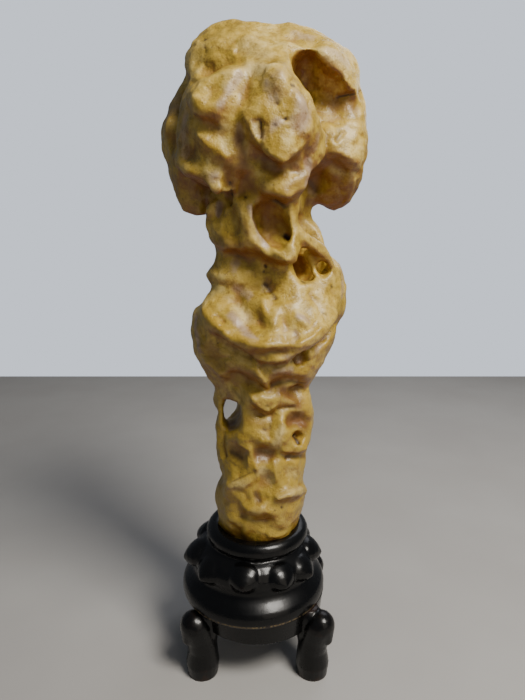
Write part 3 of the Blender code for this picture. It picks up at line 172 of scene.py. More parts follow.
# The strokes that wear the stone's front, from the crown down to the foot.
MARKS = (
    # The crown.
    Mark("ledge_edge", 0.8, 3.5, ((195, 50), (206, 47), (222, 48), (233, 52))),
    Mark("ledge_upper_lip", 0.3, 4, ((208, 41), (220, 39), (232, 37))),
    Mark("ledge_low", 0.5, 3.2, ((209, 64), (222, 63), (238, 61))),
    Mark("ledge_low_lip", 0.6, 4, ((212, 59), (226, 57), (238, 57))),
    Mark("seam", -0.6, 1.3, ((205, 40), (205, 52), (207, 64), (207, 78.5))),
    Mark("crown_pit", -1, 2, ((237, 51), (238, 52))),
    Mark("crown_crease", -0.8, 4, ((235, 42), (240, 54), (243, 66))),
    Mark("crown_swell", 0.9, 9, ((246, 38), (262, 44))),
    Mark("crown_dent_left", -0.9, 8, ((196, 62), (200, 58))),
    Mark("crown_dent_right", -0.9, 8, ((292, 40), (300, 38))),
    Mark("crown_dent_far", -0.8, 8, ((318, 44), (330, 46))),
    Mark("lip_knob", 0.8, 6, ((322, 52), (334, 58), (346, 70))),
    Mark("lip_dent", -0.7, 4, ((328, 62), (334, 66))),
    Mark("left_nook", -1.2, 5, ((192, 80), (196, 82))),
    # The nose.
    Mark("nose_ridge", 0.7, 5, ((238, 72), (230, 84), (222, 98), (216, 112))),
    Mark("nose_step", -0.4, 6, ((212, 84), (210, 98))),
    Mark("nose_lump", 0.8, 8, ((196, 100), (206, 108))),
    Mark("nose_edge", 0.8, 4, ((196, 112), (206, 116), (214, 120), (220, 124))),
    Mark("cheek_ridge", 0.4, 4, ((199, 133), (208, 142), (218, 150), (226, 158))),
    Mark("cheek_under", -0.6, 6, ((204, 158), (216, 166), (228, 172))),
    Mark("lobe_ridge", 0.9, 6, ((186, 166), (196, 176), (213, 193), (223, 197))),
    Mark("lobe_dent", -0.8, 4, ((223, 180), (229, 186))),
    Mark("jaw_cleft", -1, 4, ((229, 178), (231, 190), (228, 198))),
    Mark("valley", -0.7, 6, ((250, 72), (247, 88), (242, 102))),
    Mark("valley_low", -0.6, 5, ((236, 110), (236, 124), (241, 138))),
    Mark("trough", -0.4, 6, ((244, 142), (247, 156), (252, 164))),
    Mark("side_plane", -0.7, 8, ((184, 120), (182, 140), (186, 156))),
    # The brow.
    Mark("brow_bump", 0.7, 8, ((270, 72), (278, 80))),
    Mark("brow_hollow", -0.4, 6, ((264, 92), (270, 100), (276, 104))),
    Mark("brow_ridge", 0.6, 4, ((266, 106), (268, 120), (270, 134))),
    Mark("slit_floor", -1.2, 3.5, ((256, 124), (257, 134))),
    Mark("slit_edge", -2.6, 1.4, ((261, 121), (261, 130), (261, 138))),
    Mark("slit_top", -0.5, 1.4, ((253, 120), (260, 120))),
    Mark("slit_lip", 1.2, 2.5, ((264, 118), (265, 130), (264, 140))),
    Mark("pit_high", -2.4, 1.8, ((292, 85), (293, 86))),
    Mark("pit_high_tail", -1.4, 1.8, ((290, 82), (294, 79))),
    Mark("pit_round", -3.2, 1.9, ((285, 119), (286, 119))),
    Mark("pit_round_tail", -0.9, 1.4, ((288, 119), (294, 119))),
    Mark("pit_left", -1.8, 2, ((275, 124), (276, 125))),
    Mark("pit_small", -1.6, 1.8, ((276, 103), (278, 104))),
    Mark("chin_ridge", 0.5, 4, ((244, 114), (250, 126), (258, 140), (270, 152), (280, 166.5))),
    Mark("chin_ridge_right", 0.4, 4, ((284, 162), (292, 153), (302, 147))),
    Mark("under_chin", -0.7, 6, ((258, 160), (270, 168), (282, 172))),
    Mark("brow_side_dent", -0.7, 7, ((304, 110), (306, 122))),
    Mark("brow_side_ridge", 0.6, 4, ((300, 84), (310, 102), (318, 122))),
    Mark("face_dent", -0.8, 6, ((300, 140), (308, 150))),
    # The jaw.
    Mark("jaw_ridge", 0.7, 5, ((266, 184), (276, 192), (287, 197))),
    Mark("jaw_ridge_right", 0.7, 4, ((288, 196), (298, 190), (306, 186))),
    Mark("jaw_facet", 0.6, 6, ((288, 182), (298, 178))),
    Mark("jaw_pit", -0.9, 5, ((294, 171), (301, 173))),
    Mark("jaw_fold", -0.9, 4, ((306, 158), (309, 170), (308, 182))),
    Mark("jaw_hole", -0.9, 4, ((275, 201), (283, 205))),
    Mark("jaw_pit_a", -1.6, 1.5, ((230, 182), (230, 184))),
    Mark("jaw_pit_b", -1.6, 1.5, ((231, 191), (231, 192))),
    Mark("jaw_pit_c", -1.4, 1.4, ((245, 197), (246, 198))),
    Mark("cave_corner", -1.9, 6, ((294, 47), (300, 51.5))),
    # The right lobe.
    Mark("crack_right", -2.2, 1.3, ((338, 97), (348, 95), (355, 94), (361, 90))),
    Mark("crack_right_lip", 1, 3, ((338, 92), (348, 91), (355, 88))),
    Mark("oval_pit", -2.4, 3.2, ((337, 140), (340, 136), (343, 132))),
    Mark("lobe_rib", 0.8, 5, ((330, 126), (334, 136), (332, 150))),
    Mark("lobe_rib_low", 0.8, 5, ((338, 152), (350, 158), (358, 168))),
    Mark("lobe_edge", 0.8, 4, ((346, 166), (354, 176), (352, 190), (346, 202))),
    Mark("lobe_dent", -0.8, 7, ((352, 128), (356, 144))),
    Mark("lobe_low_dent", -0.8, 6, ((340, 190), (342, 200))),
    # The left lobe.
    Mark("left_lobe_dent", -0.8, 6, ((172, 138), (173, 150))),
    Mark("left_lobe_rib", 0.8, 5, ((170, 120), (167, 132))),
    Mark("left_lobe_hollow", -1.1, 7, ((186, 190), (194, 200))),
    Mark("left_lobe_low", 0.9, 5, ((180, 198), (188, 210), (202, 214))),
    # The neck.
    Mark("neck_groove", -0.8, 5, ((219, 203), (219, 216))),
    Mark("neck_post", 0.8, 4, ((228, 203), (228, 214))),
    Mark("neck_bulge", 0.9, 6, ((213, 224), (220, 236), (230, 244))),
    Mark("neck_dent", -0.9, 5, ((232, 222), (238, 230))),
    Mark("neck_spur", 0.8, 4, ((240, 236), (246, 244), (242, 250))),
    Mark("neck_cut", -0.7, 4.5, ((234, 255), (244, 258))),
    Mark("neck_low", -0.9, 7, ((236, 264), (252, 268))),
    Mark("neck_pit", -2.4, 2.2, ((265, 266), (266, 267))),
    Mark("neck_pit_low", -1.6, 1.6, ((264, 271), (264, 272))),
    Mark("neck_knob", 1, 5, ((210, 272), (216, 275), (222, 278))),
    Mark("neck_shadow", -0.6, 6, ((266, 280), (272, 292))),
    Mark("scoop_lip", 1.6, 3.5, (
        (250, 206), (251, 218), (256, 232), (264, 242), (276, 252), (288, 260),
    )),
    Mark("scoop_lip_right", 1.4, 3.5, ((290, 206), (291, 222), (293, 240), (293, 256))),
    Mark("scoop_hole", -3, 3.6, ((286, 236), (289, 238))),
    Mark("scoop_spine", 1, 3, ((278, 240), (284, 244), (290, 246))),
    Mark("scoop_floor", -1, 6, ((264, 212), (266, 228))),
    Mark("window_lip", 1.2, 3, ((304, 240), (314, 246), (322, 256))),
    Mark("window_strut", 1.4, 3, ((305.5, 261), (314, 272), (322, 280))),
    # The bowl.
    Mark("bowl_pit_a", -1.8, 1.7, ((265, 284), (266, 285))),
    Mark("bowl_pit_b", -1.8, 1.6, ((270, 290), (271, 291))),
    Mark("bowl_pit_c", -1.8, 1.7, ((275, 298), (276, 299))),
    Mark("bowl_pit_d", -1.4, 1.4, ((269, 282), (270, 283))),
    Mark("bowl_pit_e", -1.4, 1.4, ((331, 286), (332, 287))),
    Mark("bowl_pit_f", -1.4, 1.6, ((302, 281.5), (305, 283))),
    Mark("bowl_trough", -0.8, 8, ((236, 302), (246, 314), (252, 326))),
    Mark("bowl_ridge", 1, 5, ((263, 302), (266, 312))),
    Mark("dimple_left", -0.8, 5.5, ((260, 318), (264, 326))),
    Mark("dimple_mid", -0.8, 6, ((285, 322), (288, 330))),
    Mark("dimple_low", -0.8, 5, ((296, 331), (298, 338))),
    Mark("bowl_knob", 1, 5, ((298, 316), (305, 322))),
    Mark("bowl_knob_left", 0.8, 5, ((276, 310), (275, 324))),
    Mark("rim_left", 0.9, 5, ((204, 310), (212, 322), (226, 333))),
    Mark("rim_dent", -1.5, 3.5, ((219, 316), (224, 322))),
    Mark("rim_mid", 0.8, 4, ((240, 339), (256, 346), (272, 346))),
    Mark("rim_right", 0.8, 4, ((300, 344), (312, 337), (322, 328))),
    Mark("under_rim", -1.3, 5, ((222, 344), (236, 352), (250, 358))),
    Mark("under_rim_arch", -0.8, 3, ((291, 358), (296, 355), (302, 354))),
    Mark("under_rim_mid", -0.7, 5, ((262, 354), (272, 352), (284, 352))),
    Mark("drip", 1, 4, ((258, 358), (270, 362), (282, 360))),
    Mark("drip_right", 0.9, 4, ((296, 360), (300, 368))),
    Mark("side_groove", -1, 3, ((306, 356), (316, 348), (324, 338))),
    Mark("side_swell", 3.3, 9, ((298, 359), (302, 357), (307, 354))),
    Mark("side_lump", 0.9, 4, ((312, 364), (316, 368))),
    Mark("flank_line", -1.4, 3, ((202, 354), (214, 358), (228, 358))),
    Mark("flank_ridge", 0.8, 4, ((202, 348), (208, 362), (220, 374))),
    Mark("flank_low", -0.9, 5, ((232, 366), (244, 375))),
    Mark("beak_left", -1.3, 5, ((240, 374), (248, 382))),
    Mark("beak_ridge", 1.8, 3.5, ((258, 372), (264, 380), (267, 387))),
    Mark("beak_under", -0.9, 4.5, ((272, 385), (280, 382), (292, 381), (302, 383))),
    Mark("beak_corner", -1, 3.5, ((296, 386), (302, 388))),
    Mark("tail_dent", -1.8, 3, ((262, 366), (268, 364), (276, 366))),
    # The column.
    Mark("tongue_edge", 1.4, 2.6, ((252, 396), (258, 406), (268, 411.5), (276, 406), (280, 396))),
    Mark("tongue_under", -1.5, 3, ((254, 410), (262, 416), (272, 415))),
    Mark("tongue_pit", -1.2, 1.3, ((267, 404), (268, 406))),
    Mark("tongue_pit_low", -1, 1.2, ((270, 408), (270, 409))),
    Mark("bracket_face", -1.7, 5, ((284, 393), (292, 398))),
    Mark("bracket_edge", -1.2, 3, ((278, 410), (286, 408), (294, 407))),
    Mark("slope_ridge", 1.2, 3, ((278, 412), (290, 410), (300, 410))),
    Mark("cheek_hollow", -2.8, 11, ((290, 421), (296, 419), (300, 421))),
    Mark("cheek_rib", 1.4, 3, ((300, 414), (302, 426), (305, 434))),
    Mark("spine", 1.8, 3, ((282, 424), (280, 434), (276, 444))),
    Mark("spine_split", -1.2, 1.8, ((280, 426), (277, 436))),
    Mark("spine_left", 1.2, 3, ((262, 440), (270, 440), (274, 446))),
    Mark("column_shadow", -0.8, 5, ((272, 418), (270, 428))),
    Mark("column_dark", -0.8, 3, ((263, 429), (266, 430))),
    Mark("pock_top", -2.2, 3.4, ((293, 435), (295, 436))),
    Mark("pock", -3.6, 3.6, ((297.5, 443), (298, 443))),
    Mark("pock_lip", 1, 2.4, ((290, 442), (294, 447), (301, 447), (304, 440))),
    Mark("ledge", 1.5, 3, ((284, 450), (294, 451), (305, 448))),
    Mark("ledge_under", -0.8, 4, ((286, 457), (296, 457), (304, 456))),
    Mark("belly", -1, 12, ((234, 453), (244, 455))),
    Mark("belly_right", -1.9, 11, ((258, 456), (264, 457), (270, 457))),
    Mark("belly_edge", 1.4, 3, ((240, 444), (250, 450), (254, 460), (256, 470))),
    Mark("left_groove", -1.8, 3, ((224, 432), (224, 446), (226, 456))),
    Mark("left_ridge", 1.2, 3, ((218, 430), (218, 446), (222, 458))),
    Mark("crack_low", -0.8, 1.4, ((232, 482), (240, 478), (248, 474), (256, 470))),
    Mark("crack_low_end", 0.4, 1.6, ((257, 469), (264, 466), (272, 462))),
    Mark("spur_left", 1.2, 2.2, ((257, 464), (257, 474), (258, 480))),
    Mark("spur", 1.4, 2.2, ((273, 460), (275, 470), (276, 480))),
    Mark("spur_right", 1, 2.2, ((278, 462), (279, 472))),
    Mark("facet", -0.9, 5, ((264, 470), (268, 476))),
    Mark("facet_right", -0.9, 5, ((288, 464), (294, 470))),
    Mark("facet_rib", 1.2, 2.6, ((294, 474), (297, 480), (296, 486))),
    Mark("knee", 1, 4, ((230, 487), (240, 486), (250, 482))),
    Mark("knee_line", -1.2, 3, ((236, 490), (244, 494), (247, 500))),
    Mark("knee_under", -0.7, 5, ((226, 500), (236, 500), (240, 508))),
    Mark("pit_low", -0.8, 4, ((256, 494), (259, 500))),
    Mark("pit_low_side", -1.2, 3, ((264, 492), (266, 498))),
    Mark("lump", 1, 4, ((248, 510), (256, 508), (264, 508))),
    Mark("lump_under", -0.4, 5, ((242, 516), (252, 521), (266, 522))),
    Mark("lump_under_right", -0.6, 5, ((270, 526), (280, 530))),
    Mark("ankle_lip", 1.6, 3, ((278, 498), (288, 495), (300, 489.5), (303, 487))),
    Mark("ankle_under", -0.7, 5, ((286, 502), (296, 500), (304, 494))),
    Mark("ankle_pit", -1.8, 1.8, ((281, 507), (282, 508))),
    Mark("ankle_pit_left", -1.2, 1.6, ((274, 511), (276, 510))),
    Mark("foot_dent", -0.9, 5, ((230, 524), (240, 530))),
    Mark("foot_dent_right", -0.4, 5, ((286, 520), (292, 525.5))),
    Mark("foot_rib", 1.2, 3, ((262, 532), (272, 536), (284, 534))),
    Mark("foot_pit", -1.2, 2, ((264, 534), (266, 535))),
)

# The scratched places.
HATCHES = (
    Hatch("wall_hatch", 11, -0.7, 1.1, ((324, 104), (330, 122)), ((352, 100), (360, 118))),
    Hatch("bowl_hatch", 9, -0.7, 1.1, ((232, 283), (240, 302)), ((246, 279), (256, 296))),
    Hatch("jaw_hatch", 7, -0.6, 1, ((284, 184), (290, 192)), ((292, 170), (302, 184))),
    Hatch("lip_hatch", 6, -0.4, 1.2, ((326, 48), (332, 58)), ((342, 54), (348, 68))),
)

# The patches of each tint, from the crown down to the foot.
WASHES = {
    Tint.MAUVE: (
        Wash(10, 0.5, ((296, 34), (310, 38))), Wash(9, 0.7, ((330, 51), (346, 64))),
        Wash(15, 0.5, ((274, 76), (272, 92))), Wash(14, 0.8, ((302, 98), (306, 112), (300, 124))),
        Wash(8, 0.7, ((278, 122), (264, 134))), Wash(6, 0.8, ((240, 74), (229, 90), (217, 112))),
        Wash(11, 0.6, ((186, 118), (183, 136), (186, 152))), Wash(8, 0.5, ((178, 96), (174, 112))),
        Wash(8, 0.6, ((318, 138), (313, 150))), Wash(7, 0.9, ((307, 160), (310, 172), (307, 182))),
        Wash(9, 0.6, ((214, 176), (206, 200))), Wash(7, 0.5, ((236, 146), (240, 126))),
        Wash(6, 0.5, ((296, 166), (300, 172))), Wash(7, 0.4, ((310, 190), (330, 200))),
        Wash(5, 1, ((219, 204), (219, 214))), Wash(6, 0.9, ((251, 208), (255, 226), (266, 244))),
        Wash(9, 0.4, ((236, 262), (230, 274))), Wash(7, 0.5, ((340, 266), (342, 296))),
        Wash(8, 0.4, ((212, 240), (222, 248))), Wash(8, 0.8, ((232, 314), (244, 330), (253, 340))),
        Wash(7, 0.7, ((300, 316), (308, 320))), Wash(6, 0.9, ((196, 316), (197, 336), (199, 350))),
        Wash(7, 0.6, ((286, 356), (298, 360))), Wash(6, 0.7, ((276, 372), (292, 370))),
        Wash(8, 0.6, ((236, 288), (250, 296))), Wash(6, 0.6, ((322, 346), (316, 352))),
    ),
    Tint.MUSTARD: (
        Wash(6, 0.8, ((236, 56), (246, 68))), Wash(6, 0.8, ((292, 50), (298, 54))),
        Wash(9, 0.4, ((196, 50), (210, 56), (230, 56))),
        Wash(8, 0.9, ((198, 104), (208, 110), (218, 114))), Wash(8, 0.7, ((294, 94), (288, 106))),
        Wash(5, 0.8, ((264, 98), (266, 116), (267, 134))), Wash(5, 0.7, ((247, 112), (254, 120))),
        Wash(8, 0.6, ((224, 96), (238, 106))), Wash(7, 0.5, ((352, 104), (358, 120))),
        Wash(7, 0.5, ((174, 112), (170, 140))), Wash(7, 0.9, ((206, 143), (218, 152), (225, 159))),
        Wash(8, 0.8, ((192, 172), (206, 186), (224, 195.5))), Wash(8, 1, ((272, 140), (282, 156))),
        Wash(9, 0.5, ((230, 150), (236, 168))), Wash(9, 0.6, ((240, 190), (258, 194))),
        Wash(7, 0.7, ((288, 190), (276, 190))), Wash(7, 0.5, ((292, 186), (300, 178))),
        Wash(9, 0.5, ((226, 232), (240, 240))),
        Wash(7, 1, ((205, 311), (214, 324), (240, 340), (262, 346))),
        Wash(5, 1, ((261, 306), (266, 312))), Wash(5, 0.8, ((290, 302), (291, 312))),
        Wash(9, 0.8, ((270, 340), (290, 342))), Wash(8, 0.5, ((218, 296), (226, 304))),
        Wash(7, 0.8, ((298, 374), (308, 368))), Wash(8, 0.6, ((335.5, 329.5), (322, 350))),
        Wash(6, 0.8, ((300, 344), (312, 336), (322, 328))),
        Wash(10, 0.5, ((282, 306), (288, 316))), Wash(8, 0.6, ((231.5, 434.5), (246, 436))),
        Wash(12, 0.8, ((300, 392), (308, 420))), Wash(8, 0.6, ((300, 432), (305, 445))),
        Wash(9, 0.9, ((262, 458), (252, 464))), Wash(10, 0.8, ((286, 460), (300, 466))),
        Wash(10, 0.9, ((250, 512), (264, 512))), Wash(10, 0.9, ((290, 512), (296, 524))),
    ),
    # Brown patches of painted shade under the overhangs, in the bends and in the belly of the column.
    Tint.SHADE_WASH: (
        Wash(14, 0.5, ((170, 110), (171, 136))), Wash(8, 0.3, ((248, 80), (244, 100))),
        Wash(12, 0.7, ((334, 103), (352, 106))),
        Wash(9, 0.8, ((238, 138), (240, 150), (244, 164))), Wash(7, 0.5, ((208, 126), (222, 132))),
        Wash(9, 0.5, ((246, 178), (254, 188))), Wash(8, 0.6, ((266, 168), (284, 176))),
        Wash(7, 0.4, ((226, 166), (230, 174))), Wash(9, 0.5, ((300, 186), (304, 172))),
        Wash(8, 0.4, ((286, 190), (296, 180))), Wash(10, 0.35, ((203.5, 185), (216, 190))),
        Wash(9, 0.5, ((220, 240), (236, 244))),
        Wash(16, 0.45, ((206, 350), (216, 364), (236, 378))),
        Wash(7, 0.5, ((262, 364), (284, 364))), Wash(6, 0.5, ((260, 322), (264, 327))),
        Wash(5, 0.5, ((296, 332), (297, 338))),
        Wash(11, 0.9, ((282, 391), (292, 397), (298, 404))),
        Wash(14, 0.9, ((288, 421), (296, 418), (303, 425))),
        Wash(9, 0.4, ((246, 420), (264, 424))), Wash(13, 0.5, ((232, 452), (246, 453))),
        Wash(11, 0.75, ((258, 456), (270, 457))), Wash(7, 0.4, ((226, 504), (240, 508))),
        Wash(9, 0.5, ((232, 530), (250, 540))), Wash(6, 0.5, ((286, 457), (304, 456))),
        Wash(7, 0.6, ((256, 492), (259, 502))),
    ),
    # Pale patches of painted highlight on the tops and ridges that face the light.
    Tint.PAINTED_HIGHLIGHT: (
        Wash(13, 0.7, ((250, 68), (266, 66))), Wash(17, 0.5, ((248, 44), (262, 54))),
        Wash(12, 0.6, ((324, 50), (336, 57), (346, 66))), Wash(11, 0.4, ((228, 84), (236, 76))),
        Wash(18, 0.35, ((312, 74), (322, 84), (332, 92))), Wash(12, 0.4, ((350, 138), (352, 148))),
        Wash(6, 0.6, ((256, 126), (256, 134))), Wash(9, 0.5, ((338, 132), (344, 146))),
        Wash(7, 0.4, ((252, 224), (262, 242))), Wash(11, 0.7, ((238, 309), (246, 320))),
        Wash(10, 0.7, ((299, 307), (307, 311))),
        Wash(8, 0.6, ((283, 428), (279, 438), (275, 447))),
        Wash(10, 0.6, ((232, 487), (244, 484))), Wash(10, 0.6, ((262, 470), (270, 478))),
        Wash(8, 0.5, ((280, 496), (292, 492.5), (302, 489))),
        Wash(8, 0.4, ((268, 450), (274, 447))), Wash(9, 0.4, ((250, 513.5), (262, 511))),
        Wash(10, 0.4, ((288, 470), (296, 474))),
    ),
    # Dark patches: dirt in pits, cracks and the seam, and painted shade under the beak, the ledges and the
    # lumps.
    Tint.DIRT_AND_SHADE: (
        Wash(1.6, 1, ((205, 40), (205, 48))), Wash(1.2, 0.45, ((206, 48), (207, 64), (207, 76))),
        Wash(5, 0.5, ((191, 80), (196, 82))), Wash(2.2, 1, ((291, 85), (294, 86))),
        Wash(2.4, 1, ((285, 119), (286, 119))), Wash(1.6, 0.8, ((275, 124), (276, 125))),
        Wash(1.6, 0.7, ((276, 103), (278, 104))), Wash(1.2, 1, ((261, 122), (261, 138))),
        Wash(1.1, 0.5, ((253, 120), (260, 120))),
        Wash(1.2, 1, ((338, 97), (348, 95), (355, 94), (361, 90))),
        Wash(6, 0.25, ((262, 161), (274, 166))), Wash(1.5, 1, ((230, 182), (230, 184))),
        Wash(1.7, 1, ((231, 190), (232, 194.5))), Wash(1.5, 1, ((245, 197), (246, 198))),
        Wash(5, 0.55, ((310, 182), (316, 190))), Wash(3, 0.4, ((340, 132), (337, 140))),
        Wash(2, 0.5, ((290, 168), (300, 174))), Wash(4, 0.8, ((275, 201), (284, 206))),
        Wash(1.4, 0.8, ((231, 205), (231, 206))), Wash(3, 0.4, ((236, 256), (244, 258))),
        Wash(2.2, 0.9, ((265, 265), (266, 267))), Wash(1.5, 0.8, ((264, 271), (264, 272))),
        Wash(4, 1, ((286, 236), (289, 239))), Wash(5, 0.35, ((219, 203), (219, 215))),
        Wash(1.6, 0.8, ((302, 281.5), (305, 283))), Wash(1.6, 0.9, ((331, 286), (332, 287))),
        Wash(3.5, 0.7, ((265, 284), (270, 290), (276, 299))),
        Wash(4, 0.3, ((260, 319), (264, 326))), Wash(4, 0.3, ((296, 331), (298, 338))),
        Wash(1.5, 0.6, ((322, 312), (326, 315))),
        Wash(3, 0.35, ((262, 354), (272, 352), (286, 352))),
        Wash(2, 0.3, ((291, 358), (296, 355))), Wash(1.6, 0.4, ((312, 352), (324, 338))),
        Wash(3.5, 0.5, ((272, 385), (280, 382), (292, 381), (303, 383))),
        Wash(3, 0.4, ((297, 386), (302, 388))), Wash(3, 0.5, ((232, 388), (240, 398))),
        Wash(3.4, 1, ((293, 435), (298, 443))), Wash(1.3, 0.8, ((267, 404), (268, 406))),
        Wash(1.3, 0.7, ((270, 409), (271, 410))),
        Wash(3, 0.35, ((278, 410), (286, 408), (294, 407))),
        Wash(3, 0.5, ((271, 418), (270, 428))), Wash(2, 0.7, ((263, 429), (266, 430))),
        Wash(1.2, 0.7, ((309, 390), (312, 391))), Wash(4, 0.5, ((232, 452), (242, 458))),
        Wash(8, 0.3, ((254, 452), (270, 455))),
        Wash(3.5, 0.5, ((286, 457), (296, 457), (305, 456))),
        Wash(1.4, 0.6, ((232, 482), (240, 478), (248, 474), (256, 470))),
        Wash(3.5, 0.7, ((255, 493), (260, 501))), Wash(1.8, 0.9, ((281, 507), (282, 508))),
        Wash(1.5, 0.8, ((274, 511), (276, 510))),
        Wash(4, 0.3, ((242, 516), (252, 521), (266, 522))), Wash(3, 0.5, ((270, 526), (281, 530))),
        Wash(2, 0.4, ((256, 530), (268, 536), (280, 538))), Wash(2, 0.6, ((229, 460), (240, 468))),
    ),
}


# --- helpers for meshes -----------------------------------------------------------------
def new_object(name: str, work: bmesh.types.BMesh) -> bpy.types.Object:
    """Puts a finished bmesh into the scene as an object at the origin.

    Args:
        name: The object's name.
        work: The bmesh, which is freed.

    Returns:
        The new object.
    """
    mesh = bpy.data.meshes.new(name)
    work.to_mesh(mesh)
    work.free()
    item = bpy.data.objects.new(name, mesh)
    bpy.context.scene.collection.objects.link(item)
    return item


def settle(item: bpy.types.Object) -> None:
    """Replaces an object's mesh by what its modifiers make of it."""
    graph = bpy.context.evaluated_depsgraph_get()
    rough = item.data
    item.data = bpy.data.meshes.new_from_object(item.evaluated_get(graph))
    item.data.name = item.name
    item.modifiers.clear()
    bpy.data.meshes.remove(rough)


def redraw(item: bpy.types.Object, voxel: float, smoothing: int, finer: int = 0) -> None:
    """Draws an object's skin afresh as one even closed mesh.

    Args:
        item: The object, whose overlapping shapes become one skin.
        voxel: The size of the new faces.
        smoothing: How many smoothing steps follow.
        finer: Levels of subdivision that round the shape beforehand.
    """
    if finer:
        rounded = item.modifiers.new("rounded", "SUBSURF")
        rounded.levels = rounded.render_levels = finer
    remesh = item.modifiers.new("one_skin", "REMESH")
    remesh.mode = "VOXEL"
    remesh.voxel_size = voxel
    remesh.use_smooth_shade = True
    if smoothing:
        smooth = item.modifiers.new("smooth", "SMOOTH")
        smooth.factor = 0.5
        smooth.iterations = smoothing
    settle(item)


def thin_out(item: bpy.types.Object, triangles: int) -> None:
    """Lowers an object's triangle count, flattest places first."""
    item.data.calc_loop_triangles()
    share = triangles / len(item.data.loop_triangles)
    if share < 1:
        thinner = item.modifiers.new("thinner", "DECIMATE")
        thinner.ratio = share
        thinner.use_collapse_triangulate = True
        settle(item)
    item.data.shade_smooth()


def subtract(item: bpy.types.Object, cutter: bpy.types.Object) -> None:
    """Cuts one object's shape out of another and removes the cutter."""
    cut = item.modifiers.new("seat", "BOOLEAN")
    cut.operation = "DIFFERENCE"
    cut.solver = "EXACT"
    cut.object = cutter
    settle(item)
    bpy.data.objects.remove(cutter)


def trim(work: bmesh.types.BMesh, height: float, keep_above: bool) -> None:
    """Cuts a closed bmesh level at a height and closes the cut.

    Args:
        work: The bmesh to trim.
        height: The height of the cut.
        keep_above: Whether the part above the cut stays, or the part below.
    """
    cut = bmesh.ops.bisect_plane(
        work,
        geom=work.verts[:] + work.edges[:] + work.faces[:],
        dist=ON_CUT,
        plane_co=(0, 0, height),
        plane_no=(0, 0, 1),
        clear_inner=keep_above,
        clear_outer=not keep_above,
    )
    rim = [part for part in cut["geom_cut"] if isinstance(part, bmesh.types.BMEdge)]
    bmesh.ops.holes_fill(work, edges=rim)
    bmesh.ops.triangulate(work, faces=[face for face in work.faces if len(face.verts) > 4])
    bmesh.ops.recalc_face_normals(work, faces=work.faces)


def trimmed(item: bpy.types.Object, height: float, keep_above: bool) -> None:
    """Trims an object's mesh level at a height."""
    work = bmesh.new()
    work.from_mesh(item.data)
    trim(work, height, keep_above)
    work.to_mesh(item.data)
    work.free()
    item.data.shade_smooth()


def swollen_copy(item: bpy.types.Object, by: float, top: float | None = None) -> bpy.types.Object:
    """A copy of an object, larger all round, that cuts the seat it stands in.

    Args:
        item: The object to copy.
        by: How far its skin moves outwards.
        top: A height above which the copy is cut away, or None to keep all of it.

    Returns:
        The copy.
    """
    work = bmesh.new()
    work.from_mesh(item.data)
    bmesh.ops.remove_doubles(work, verts=work.verts[:], dist=WELD)
    if top is not None:
        trim(work, top, keep_above=False)
    work.normal_update()
    for corner, way in [(corner, corner.normal.copy()) for corner in work.verts]:
        corner.co += way * by
    return new_object(item.name + "_seat", work)


def add_hull(work: bmesh.types.BMesh, points: Sequence[Vector]) -> None:
    """Adds the closed convex skin of some points to a bmesh."""
    corners = [work.verts.new(point) for point in points]
    hull = bmesh.ops.convex_hull(work, input=corners)
    spare = hull["geom_interior"] + hull["geom_unused"]
    idle = {part for part in spare if isinstance(part, bmesh.types.BMVert)}
    bmesh.ops.delete(work, geom=list(idle), context="VERTS")


def add_bar(work: bmesh.types.BMesh, stations: Sequence[Place]) -> None:
    """Adds a tapering bar: the hull of the balls at each pair of neighbouring stations.

    Args:
        work: The bmesh to add to.
        stations: Places and radii (x, y, z, radius) in mm.
    """
    balls = []
    for x, y, z, radius in stations:
        at = Matrix.Translation(Vector((x, y, z)) * MM)
        ball = bmesh.new()
        bmesh.ops.create_icosphere(ball, subdivisions=BALL_LEVELS, radius=radius * MM, matrix=at)
        balls.append([corner.co.copy() for corner in ball.verts])
        ball.free()
    for start, end in zip(balls, balls[1:]):
        add_hull(work, start + end)


def add_turned(
    work: bmesh.types.BMesh, outline: Sequence[Place], middle: Place, steps: int, closed: bool = False
) -> None:
    """Adds a shape turned about an upright line.

    Args:
        work: The bmesh to add to.
        outline: Section of the shape as (radius, height) in mm.
        middle: The upright line's (x, y) in mm.
        steps: How many faces go round.
        closed: Whether the outline closes on itself, as a ring's does.
    """
    corners = [work.verts.new(Vector((middle[0] + r, middle[1], z)) * MM) for r, z in outline]
    pairs = list(zip(corners, corners[1:] + corners[:1]))
    edges = [work.edges.new(pair) for pair in (pairs if closed else pairs[:-1])]
    bmesh.ops.spin(
        work,
        geom=corners + edges,
        cent=Vector((middle[0], middle[1], 0)) * MM,
        axis=(0, 0, 1),
        angle=math.tau,
        steps=steps,
        use_merge=True,
    )
    bmesh.ops.remove_doubles(work, verts=work.verts[:], dist=WELD)
    bmesh.ops.recalc_face_normals(work, faces=work.faces)


# --- helpers for materials --------------------------------------------------------------
def linear(hex_colour: str) -> tuple[float, float, float, float]:
    """An sRGB hex colour as linear RGBA."""
    channels = [int(hex_colour[place:place + 2], 16) / 255 for place in (1, 3, 5)]
    red, green, blue = (
        c / 12.92 if c <= 0.04045 else ((c + 0.055) / 1.055) ** 2.4 for c in channels
    )
    return red, green, blue, 1.0


def add_node(
    tree: bpy.types.NodeTree,
    kind: str,
    inputs: dict[int | str, object] | None = None,
    **settings: object,
) -> bpy.types.Node:
    """Adds one node to a tree.

    Args:
        tree: The material's node tree.
        kind: The node's type name.
        inputs: What each input socket takes: a value, or a socket that is linked to it.
        **settings: Properties of the node.

    Returns:
        The node.
    """
    node = tree.nodes.new(kind)
    for name, value in settings.items():
        setattr(node, name, value)
    for socket, value in (inputs or {}).items():
        if isinstance(value, bpy.types.NodeSocket):
            tree.links.new(value, node.inputs[socket])
        else:
            node.inputs[socket].default_value = value
    return node


